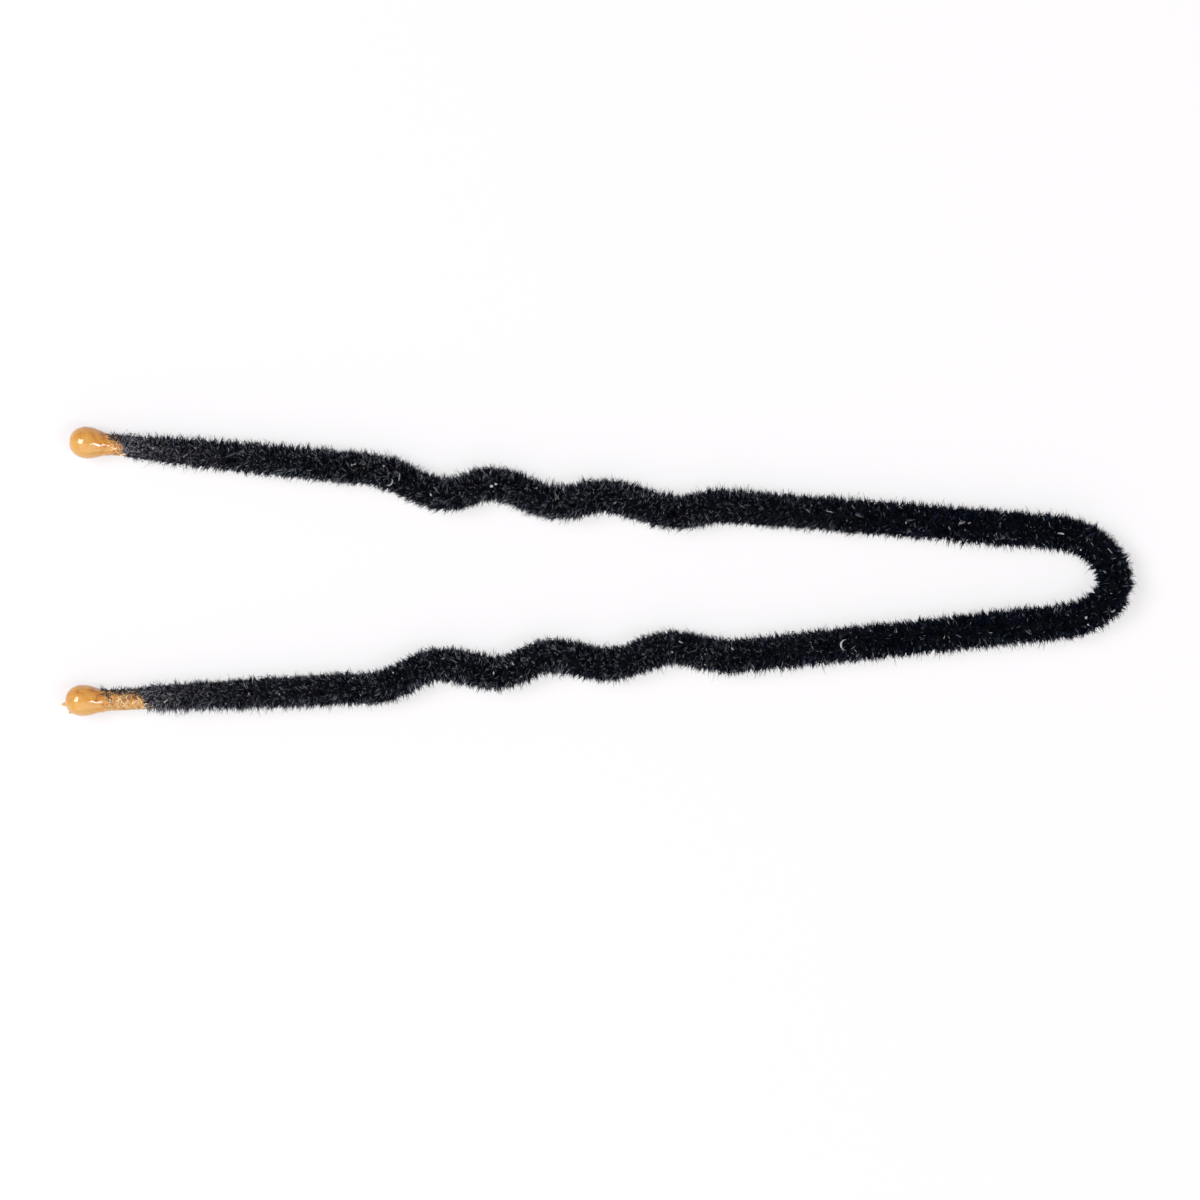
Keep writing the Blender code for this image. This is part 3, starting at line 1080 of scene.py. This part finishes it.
class HAIRPIN_OT_grow_fringe(bpy.types.Operator):
    """Grows the fringe: single thin fibres that stand clear of the tufts."""

    bl_idname = "hairpin.grow_fringe"
    bl_label = "Grow fringe"

    def execute(self, context):
        settings = context.scene.hairpin_pile
        finish = nylon_flock(settings)
        for stretch, rng in each_stretch(settings, "fringe"):
            made = grow(stretch, settings, rng, FRINGE, settings.fringe, FRINGE_WIDTH, pile_radius)
            fringe = add_mesh(f"fringe_{stretch.name}", finish, *made)
            hold(fringe, stretch)
        return {"FINISHED"}


def drop_outline(leg):
    """(distance past the wire's end, radius) along the outside of a drop, from its neck to its tip."""
    widest, neck = TIPS[leg.name].radius, TIPS[leg.name].neck
    points = []
    start = NECK_GAP - coat_start(leg)
    for along in np.linspace(start, -DROP_TO_NECK, NECK_RINGS, endpoint=False):
        points.append((along, neck))
    for share in np.linspace(0.0, 1.0, SHOULDER_RINGS, endpoint=False):
        eased = 0.5 - 0.5 * math.cos(math.pi * share)
        along = -DROP_TO_NECK + share * (DROP_WIDEST + DROP_TO_NECK)
        points.append((along, neck + eased * (widest - neck)))
    for turn in np.linspace(0.0, math.pi / 2, CAP_RINGS, endpoint=False):
        along = DROP_WIDEST + (DROP_TIP - DROP_WIDEST) * math.sin(turn)
        points.append((along, widest * math.cos(turn) ** DROP_ROUNDNESS))
    return np.array(points + [(DROP_TIP, 0.0)])


def wire_end(leg):
    """Where a leg's wire ends, which way it points there, and the level way towards the left."""
    way = np.array((*heading(leg.outer_angle, leg.side), 0.0))
    end = np.array((*leg_line(leg).points[-1], wire_height()))
    return end, way, np.array((way[1], -way[0], 0.0))


def set_aside(leg, points):
    """Moves the points of a neck to the right, to where it lies. The drop stays on the wire."""
    end, way, left = wire_end(leg)
    share = np.clip(((points - end) @ way + DROP_TO_NECK) / (DROP_WIDEST + DROP_TO_NECK), 0.0, 1.0)
    return points - (TIPS[leg.name].aside * (0.5 + 0.5 * np.cos(math.pi * share)))[..., None] * left


def nib_lift(leg, outline, points):
    """How far a drop's nibs lift these points of its surface."""
    end, way, left = wire_end(leg)
    cap = outline[-CAP_RINGS - 1 :]
    lift = np.zeros(len(points))
    for nib in NIBS[leg.name]:
        turn = math.radians(nib.round)
        along = cap[(cap[:, 1] <= nib.off).argmax(), 0]
        foot = end + along * way + nib.off * (math.cos(turn) * left + math.sin(turn) * UP)
        far = np.linalg.norm(points - foot, axis=1)
        lift += nib.height * np.exp(-((far / nib.width) ** 2))
    return lift


def turned_drop(leg):
    """The drop's rings of points: down the wire's bore, out at the neck, and along the outside. With
    them comes the light and shade painted at each: paler on the drop's right side, which faces the
    window, and darker along the neck's left side, away from it."""
    outline = drop_outline(leg)
    bore = ((BORE_PAST_WIRE, 0.0), (BORE_PAST_WIRE, BORE_RADIUS), (outline[0][0], BORE_RADIUS))
    end, way, left = wire_end(leg)
    turns = np.linspace(0.0, FULL_TURN, DROP_SIDES, endpoint=False)
    rim = np.cos(turns)[:, None] * left + np.sin(turns)[:, None] * UP
    rings = [end + along * way + radius * rim for along, radius in bore]

    # the outside is a little lumpy, and may have nibs
    for along, radius in outline:
        ring = end + along * way + radius * rim
        outward = ring - (end + min(along, DROP_WIDEST) * way)
        outward /= np.linalg.norm(outward, axis=1, keepdims=True)
        rippled = min(max(RIPPLE_REACH - along / DROP_TO_NECK, 0.0), 1.0)
        lift = LUMP_HEIGHT * noise_at(ring, LUMP_SIZE)
        lift += RIPPLE_HEIGHT * rippled * noise_at(ring, RIPPLE_SIZE)
        lift += nib_lift(leg, outline, ring)
        rings.append(set_aside(leg, ring + lift[:, None] * outward))
    rings[-1][:] = rings[-1].mean(axis=0)

    # painted light and shade: up to 1 on the drop's right side, painted paler, and below 0 along the
    # neck's left side, painted darker
    down = np.clip(1.0 + outline[:, 0] / DROP_TO_NECK, 0.0, 1.0)
    down = np.concatenate((np.zeros(len(bore)), down))[:, None]
    to_right = 0.5 - 0.5 * np.cos(turns)
    return np.array(rings), down * to_right - NECK_PAINTED_SHADE * (1.0 - down) * (1.0 - to_right)


class HAIRPIN_OT_dip_tips(bpy.types.Operator):
    """Puts a drop of lacquer on each tip."""

    bl_idname = "hairpin.dip_tips"
    bl_label = "Dip tips"

    def execute(self, context):
        finish = amber_lacquer(context.scene.hairpin_tips)
        for leg in LEGS:
            # each point of the drop comes with its painted light and shade, which the lacquer reads
            rings, thick = turned_drop(leg)
            # the first and last rings are one point each
            thick = np.concatenate((thick[0, :1], thick[1:-1].ravel(), thick[-1, :1]))
            drop = add_mesh(f"tip_drop_{leg.name}", finish, *skin(rings), {"thick": thick}, smooth=True)
            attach(drop, f"{leg.name}_leg")
            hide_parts(f"tip_bead_{leg.name}")
        return {"FINISHED"}


def drop_surface(leg):
    """The drop's radius at any distance along its leg's line."""
    outline = drop_outline(leg)
    end = leg_line(leg).length
    return lambda along: np.interp(along - end, outline[:, 0], outline[:, 1])


# The fibres under a neck's lacquer, as ranges: how long and wide they are, how far their ends lift and
# how pale they are. They are sown from before the neck's start to past its end, and are painted
# browner by its left edge, a painted shade.
CAUGHT_LENGTH = (0.3 * MM, 0.6 * MM)
CAUGHT_WIDTH = (0.05 * MM, 0.09 * MM)
CAUGHT_LIFT = (0.0, 0.05 * MM)
CAUGHT_TONE = (0.35, 1.0)
CAUGHT_BEFORE = 0.2 * MM
CAUGHT_PAST = 0.3 * MM
CAUGHT_SHADE = 0.3
CAUGHT_POINTS = 6
# The black ones that stick to it, likewise. They are as many as on a neck longer by the allowance.
# They lie about this far round it from its left edge, in radians, with this standard deviation. Above
# 1, the bias keeps them near the pile, and most of their ends low.
STRAY_LENGTH = (0.2 * MM, 0.45 * MM)
STRAY_WIDTH = (0.04 * MM, 0.08 * MM)
STRAY_BEFORE = 0.1 * MM
STRAY_PAST = 0.35 * MM
STRAY_ALLOWANCE = 0.3 * MM
STRAY_ROUND = (0.35, 0.4)
STRAY_CURL = 1.0
STRAY_BIAS = 1.3
STRAY_LIFT = 0.6
STRAY_LIFT_BIAS = 2
STRAY_DUST = 0.1
STRAY_POINTS = 5


def neck_of(leg):
    """A leg's line, and where on it its neck starts and ends."""
    line = leg_line(leg)
    return line, line.length - coat_start(leg), line.length - DROP_TO_NECK


def caught_fibres(leg, settings, rng):
    """Fibres under the lacquer of a neck, all round it."""
    line, start, end = neck_of(leg)
    tip = TIPS[leg.name]
    span = end - start + CAUGHT_BEFORE + CAUGHT_PAST
    count = int(span / MM * settings.neck_fibres * tip.fibres)
    turn = rng.uniform(0.0, FULL_TURN, count)
    paths = strewn(
        line,
        drop_surface(leg),
        rng.uniform(start - CAUGHT_BEFORE, end + CAUGHT_PAST, count),
        turn,
        rng.uniform(*CAUGHT_LENGTH, count),
        rng.uniform(0.0, FULL_TURN, count),
        rng.normal(0.0, tip.curl, count),
        rng.uniform(*CAUGHT_LIFT, count),
        steps=CAUGHT_POINTS,
    )
    # painted shade: fibres on the neck's left side are drawn browner
    tone = rng.uniform(*CAUGHT_TONE, count) - CAUGHT_SHADE * np.maximum(np.cos(turn), 0.0)
    widths = rng.uniform(*CAUGHT_WIDTH, count)
    return fibre_mesh(set_aside(leg, paths), widths, rng, 0.0, tone)


def stray_fibres(leg, settings, rng):
    """Black fibres that stuck to a neck, most of them along its left edge and next to the pile."""
    line, start, end = neck_of(leg)
    count = int((end - start + STRAY_ALLOWANCE) / MM * settings.strays)
    nearer = rng.uniform(0.0, 1.0, count) ** STRAY_BIAS
    paths = strewn(
        line,
        drop_surface(leg),
        start - STRAY_BEFORE + nearer * (end - start + STRAY_BEFORE + STRAY_PAST),
        rng.normal(*STRAY_ROUND, count),
        rng.uniform(*STRAY_LENGTH, count),
        rng.uniform(0.0, FULL_TURN, count),
        rng.normal(0.0, STRAY_CURL, count),
        rng.uniform(0.0, STRAY_LIFT, count) ** STRAY_LIFT_BIAS * MM,
        steps=STRAY_POINTS,
    )
    widths = rng.uniform(*STRAY_WIDTH, count)
    tone = rng.uniform(0.0, 1.0, count)
    return fibre_mesh(set_aside(leg, paths), widths, rng, STRAY_DUST, tone)


class HAIRPIN_OT_mat_necks(bpy.types.Operator):
    """Mats the necks with fibres that the lacquer caught, honey all over and black along the left."""

    bl_idname = "hairpin.mat_necks"
    bl_label = "Mat necks"

    def execute(self, context):
        settings = context.scene.hairpin_tips
        wet = lacquered_flock()
        dry = nylon_flock(context.scene.hairpin_pile)
        for index, leg in enumerate(LEGS):
            rng = np.random.default_rng(settings.seed + index)
            mat = add_mesh(f"neck_fibres_{leg.name}", wet, *caught_fibres(leg, settings, rng))
            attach(mat, f"{leg.name}_leg")
            strays = add_mesh(f"stray_fibres_{leg.name}", dry, *stray_fibres(leg, settings, rng))
            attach(strays, f"{leg.name}_leg")
        return {"FINISHED"}


# A bit of lint lies this far along its stretch's line, this many degrees round the pile, and is this
# long and wide in millimetres. It faces and curls as in strewn, in degrees, and is this pale.
Lint = namedtuple("Lint", "along round length width facing curl pale")
LINT = {
    "bow": (
        Lint(1.1, 69.0, 0.25, 0.09, 120.0, 0.0, 0.4),
        Lint(1.6, 91.0, 0.36, 0.11, 27.0, 0.0, 0.4),
        Lint(2.1, 94.0, 0.2, 0.1, 30.0, 0.0, 0.5),
        Lint(8.0, 84.0, 0.42, 0.1, 160.0, 30.0, 0.8),
        Lint(9.3, 51.0, 0.12, 0.12, 0.0, 0.0, 1.0),
        Lint(10.6, 109.0, 0.4, 0.07, 0.0, 0.0, 0.5),
        Lint(11.6, 53.0, 0.3, 0.08, 20.0, 0.0, 0.4),
        Lint(14.3, 119.0, 0.24, 0.12, 130.0, 60.0, 0.8),
        Lint(15.6, 88.0, 0.2, 0.16, 20.0, 90.0, 0.9),
        Lint(15.7, 111.0, 0.16, 0.12, 60.0, 90.0, 0.8),
    ),
    "left_leg": (
        Lint(9.4, 93.0, 0.14, 0.1, 90.0, 0.0, 0.8),
        Lint(25.1, 55.0, 0.3, 0.07, 220.0, 40.0, 0.7),
        Lint(34.95, 98.0, 0.22, 0.17, 180.0, 20.0, 1.0),
        Lint(34.66, 90.0, 0.16, 0.13, 180.0, 20.0, 0.9),
        Lint(38.6, 91.0, 0.2, 0.1, 90.0, 60.0, 0.8),
        Lint(40.85, 72.0, 0.53, 0.1, 120.0, -20.0, 0.5),
        Lint(41.2, 99.0, 0.86, 0.1, 150.0, -150.0, 0.7),
        Lint(41.7, 68.0, 0.81, 0.045, 130.0, -30.0, 0.3),
        Lint(41.8, 67.0, 0.14, 0.13, 90.0, 0.0, 1.0),
        Lint(43.4, 75.0, 0.2, 0.08, 10.0, 30.0, 0.8),
        Lint(53.55, 95.0, 0.4, 0.07, 40.0, 0.0, 0.4),
        Lint(54.05, 102.0, 0.4, 0.06, -45.0, 0.0, 0.35),
    ),
    "right_leg": (
        Lint(13.2, 107.0, 1.25, 0.13, 15.0, -210.0, 0.9),
        Lint(20.3, 59.0, 0.24, 0.1, 100.0, 60.0, 0.8),
        Lint(23.6, 68.0, 0.26, 0.1, 140.0, 30.0, 0.8),
        Lint(24.0, 101.0, 0.16, 0.1, 90.0, 90.0, 0.8),
        Lint(33.8, 65.0, 0.24, 0.1, 70.0, 60.0, 0.8),
        Lint(35.1, 84.0, 0.22, 0.1, 60.0, 60.0, 0.8),
        Lint(50.2, 88.0, 0.14, 0.1, 60.0, 0.0, 0.6),
        Lint(55.1, 100.0, 0.32, 0.09, 20.0, 30.0, 0.8),
    ),
}


# How thick a bit of lint is on its way, as shares of its width
LINT_PROFILE = np.array((0.5, 0.9, 1.0, 0.8, 1.0, 0.9, 0.8, 0.6, 0.3))
LINT_SIDES = 6

# The share of the fine dust that is threads, and how far into the pile it has sunk
THREAD_SHARE = 0.12
SPECK_DEPTH = 0.98
# Ranges of length and width, and the most that an end lifts, all in millimetres
THREAD_LENGTH = (0.2, 0.4)
THREAD_WIDTH = 0.045
SPECK_LENGTH = (0.06, 0.12)
SPECK_WIDTH = (0.06, 0.1)
DUST_LIFT = 0.1
# How much it curls, by standard deviation, and how thick it is on its way, as shares of its width
DUST_CURL = 0.5
DUST_PROFILE = np.array((0.7, 1.0, 0.9, 0.3))
DUST_SIDES = 4
# The range that its paleness is drawn from before the bias, which makes most of it dark
DUST_PALE = (0.1, 1.0)
DUST_PALE_BIAS = 4


def lay_dust(kind, stretch, shape, pale, finish):
    """Makes bits of dust on a stretch of pile, each as pale as it is."""
    pale = np.repeat(pale, len(shape[0]) // len(pale))
    made = add_mesh(f"{kind}_{stretch.name}", finish, *shape, {"pale": pale})
    hold(made, stretch)


class HAIRPIN_OT_drop_lint(bpy.types.Operator):
    """Drops a few bits of pale lint on the pile."""

    bl_idname = "hairpin.drop_lint"
    bl_label = "Drop lint"

    def execute(self, context):
        settings = context.scene.hairpin_pile
        finish = house_dust(settings)
        for stretch, rng in each_stretch(settings, "lint"):
            along, turn, length, width, facing, curl, pale = np.array(LINT[stretch.name]).T
            paths = strewn(
                stretch.line,
                lambda ahead: tuft_radius(stretch, ahead),
                along * MM,
                np.radians(turn),
                length * MM,
                np.radians(facing),
                np.radians(curl),
                np.zeros(len(along)),
                steps=len(LINT_PROFILE),
            )
            radii = width[:, None] / 2 * MM * LINT_PROFILE
            shape = blades(paths, radii, rng.uniform(0.0, FULL_TURN, len(along)), LINT_SIDES)
            lay_dust("lint", stretch, shape, pale, finish)
        return {"FINISHED"}


class HAIRPIN_OT_settle_dust(bpy.types.Operator):
    """Settles fine dust all over the pile: mostly specks, and a few short threads."""

    bl_idname = "hairpin.settle_dust"
    bl_label = "Settle dust"

    def execute(self, context):
        settings = context.scene.hairpin_pile
        finish = house_dust(settings)
        for stretch, rng in each_stretch(settings, "dust"):
            span = stretch.end - stretch.start
            count = int(span * FULL_TURN * PILE_RADIUS / MM**2 * settings.specks)
            threads = rng.uniform(0.0, 1.0, count) < THREAD_SHARE
            along = stretch.start + rng.uniform(0.0, span, count)
            turn = rng.uniform(0.0, FULL_TURN, count)
            length = np.where(
                threads, rng.uniform(*THREAD_LENGTH, count), rng.uniform(*SPECK_LENGTH, count)
            )
            paths = strewn(
                stretch.line,
                lambda ahead: tuft_radius(stretch, ahead) * SPECK_DEPTH,
                along,
                turn,
                length * MM,
                rng.uniform(0.0, FULL_TURN, count),
                rng.normal(0.0, DUST_CURL, count),
                rng.uniform(0.0, DUST_LIFT, count) * MM,
                steps=len(DUST_PROFILE),
            )
            widths = np.where(threads, THREAD_WIDTH, rng.uniform(*SPECK_WIDTH, count)) * MM
            radii = widths[:, None] / 2 * DUST_PROFILE
            shape = blades(paths, radii, rng.uniform(0.0, FULL_TURN, count), DUST_SIDES)
            pale = rng.uniform(*DUST_PALE, count) ** DUST_PALE_BIAS
            lay_dust("dust", stretch, shape, pale, finish)
        return {"FINISHED"}


# How far the floor reaches from its middle, in metres
FLOOR_HALF = 3.0
# How much of the floor's look is plain white, so that its shadows stay faint
FLOOR_WASH = 0.6
# The world's light on the object, where 1 is white all round
WORLD_LEVEL = 0.28

# Each lamp hangs in this direction from the pin (degrees round from +X, degrees up), at this
# distance, and is this wide and high. Its radiance is in watts for each square metre and steradian.
Lamp = namedtuple("Lamp", "name round up distance wide high radiance colour")
LAMPS = (
    Lamp("window", -90.0, 46.0, 0.6, 1.0, 0.8, 0.9, "#FFF8F0"),
    Lamp("side_box", 168.0, 55.0, 0.6, 0.33, 0.3, 8.0, "#FFFFFF"),
    Lamp("strip", -25.0, 60.0, 0.6, 0.13, 0.24, 8.3, "#F2F6FF"),
)
# The camera stands this far off the pin's middle and is turned by this many degrees
CAMERA_X = 0.01 * MM
CAMERA_Y = -1.51 * MM
CAMERA_TURN = 0.39
SENSOR_WIDTH = 36.0
CLIP_START = 0.01


class HAIRPIN_OT_set_stage(bpy.types.Operator):
    """Lays the floor, hangs the soft lamps and sets the camera over the pin."""

    bl_idname = "hairpin.set_stage"
    bl_label = "Set stage"

    def execute(self, context):
        settings = context.scene.hairpin_stage
        lay_floor(settings)
        light_world()
        for lamp in LAMPS:
            hang_lamp(lamp)
        place_camera(context.scene, settings)
        context.scene.view_settings.view_transform = "Standard"
        return {"FINISHED"}


def seen_directly(tree):
    """1 for the rays that should see the plain white studio: from the camera, or by way of a shine."""
    path = add_node(tree, "ShaderNodeLightPath")
    seen = path.outputs["Is Camera Ray"]
    for ray in ("Is Glossy Ray", "Is Transmission Ray"):
        inputs = {0: seen, 1: path.outputs[ray]}
        seen = add_node(tree, "ShaderNodeMath", {"operation": "MAXIMUM"}, inputs).outputs["Value"]
    return seen


def lay_floor(settings):
    """Matt white card: a plain diffuse white, which keeps the pin's soft shadow."""
    made = bpy.data.materials.new("matt_white_card")
    tree = empty_tree(made)
    card = add_node(tree, "ShaderNodeBsdfDiffuse", inputs={"Color": (*settings.floor, 1.0)})
    white = add_node(tree, "ShaderNodeEmission", inputs={"Strength": 1.0})
    share = add_node(
        tree, "ShaderNodeMath", {"operation": "MULTIPLY"}, {0: seen_directly(tree), 1: FLOOR_WASH}
    )
    mixed = add_node(
        tree,
        "ShaderNodeMixShader",
        inputs={0: share.outputs["Value"], 1: card.outputs["BSDF"], 2: white.outputs["Emission"]},
    )
    add_node(tree, "ShaderNodeOutputMaterial", inputs={"Surface": mixed.outputs["Shader"]})
    corners = np.array(((-1, -1, 0), (1, -1, 0), (1, 1, 0), (-1, 1, 0))) * FLOOR_HALF
    floor = add_mesh("floor", made, corners, np.array(((0, 1, 2), (0, 2, 3))))


def light_world():
    """An even white studio all round."""
    world = bpy.data.worlds.new("studio")
    bpy.context.scene.world = world
    tree = empty_tree(world)
    level = add_node(
        tree,
        "ShaderNodeMapRange",
        inputs={"Value": seen_directly(tree), "To Min": WORLD_LEVEL, "To Max": 1.0},
    )
    sky = add_node(tree, "ShaderNodeBackground", inputs={"Strength": level.outputs["Result"]})
    add_node(tree, "ShaderNodeOutputWorld", inputs={"Surface": sky.outputs["Background"]})


def hang_lamp(lamp):
    """A soft box that faces the pin."""
    data = bpy.data.lights.new(lamp.name, "AREA")
    data.shape = "RECTANGLE"
    data.size, data.size_y = lamp.wide, lamp.high
    data.energy = lamp.radiance * math.pi * lamp.wide * lamp.high
    data.color = linear(lamp.colour)
    obj = bpy.data.objects.new(lamp.name, data)
    bpy.context.scene.collection.objects.link(obj)
    around, up = math.radians(lamp.round), math.radians(lamp.up)
    way = Vector((math.cos(around) * math.cos(up), math.sin(around) * math.cos(up), math.sin(up)))
    obj.location = way * lamp.distance
    obj.rotation_euler = way.to_track_quat("Z", "Y").to_euler()
    obj.visible_camera = False


def place_camera(scene, settings):
    """Straight above the pin, which lies a little off the middle and a little turned."""
    data = bpy.data.cameras.new("camera")
    data.lens = settings.lens
    data.sensor_width = SENSOR_WIDTH
    data.clip_start = CLIP_START
    camera = bpy.data.objects.new("camera", data)
    scene.collection.objects.link(camera)
    distance = settings.frame_width * settings.lens / SENSOR_WIDTH
    camera.location = (CAMERA_X, CAMERA_Y, wire_height() + distance)
    camera.rotation_euler = (0.0, 0.0, math.radians(CAMERA_TURN))
    scene.camera = camera


class HAIRPIN_PT_maker(bpy.types.Panel):
    """The steps that dress the pin, in order, with their sizes and colours."""

    bl_label = "Hairpin"
    bl_idname = "HAIRPIN_PT_maker"
    bl_space_type = "VIEW_3D"
    bl_region_type = "UI"
    bl_category = "Hairpin"

    def draw(self, context):
        layout = self.layout
        for operator in OPERATORS:
            layout.operator(operator.bl_idname)
        for key, group in GROUPS.items():
            box = layout.box()
            for name in group.__annotations__:
                box.prop(getattr(context.scene, key), name)


GROUPS = {
    "hairpin_pile": HairpinPile,
    "hairpin_tips": HairpinTips,
    "hairpin_stage": HairpinStage,
}
OPERATORS = (
    HAIRPIN_OT_draw_wire,
    HAIRPIN_OT_coat_wire,
    HAIRPIN_OT_lay_ground,
    HAIRPIN_OT_grow_pile,
    HAIRPIN_OT_grow_fringe,
    HAIRPIN_OT_dip_tips,
    HAIRPIN_OT_mat_necks,
    HAIRPIN_OT_drop_lint,
    HAIRPIN_OT_settle_dust,
    HAIRPIN_OT_set_stage,
)


def register():
    for made in (*GROUPS.values(), *OPERATORS, HAIRPIN_PT_maker):
        bpy.utils.register_class(made)
    for key, group in GROUPS.items():
        setattr(bpy.types.Scene, key, PointerProperty(type=group))


def unregister():
    for key in GROUPS:
        delattr(bpy.types.Scene, key)
    for made in reversed((*GROUPS.values(), *OPERATORS, HAIRPIN_PT_maker)):
        bpy.utils.unregister_class(made)


def main():
    register()
    bpy.ops.hairpin.draw_wire()
    bpy.ops.hairpin.coat_wire()
    bpy.ops.hairpin.lay_ground()
    bpy.ops.hairpin.grow_pile()
    bpy.ops.hairpin.grow_fringe()
    bpy.ops.hairpin.dip_tips()
    bpy.ops.hairpin.mat_necks()
    bpy.ops.hairpin.drop_lint()
    bpy.ops.hairpin.settle_dust()
    bpy.ops.hairpin.set_stage()


if __name__ == "__main__":
    main()
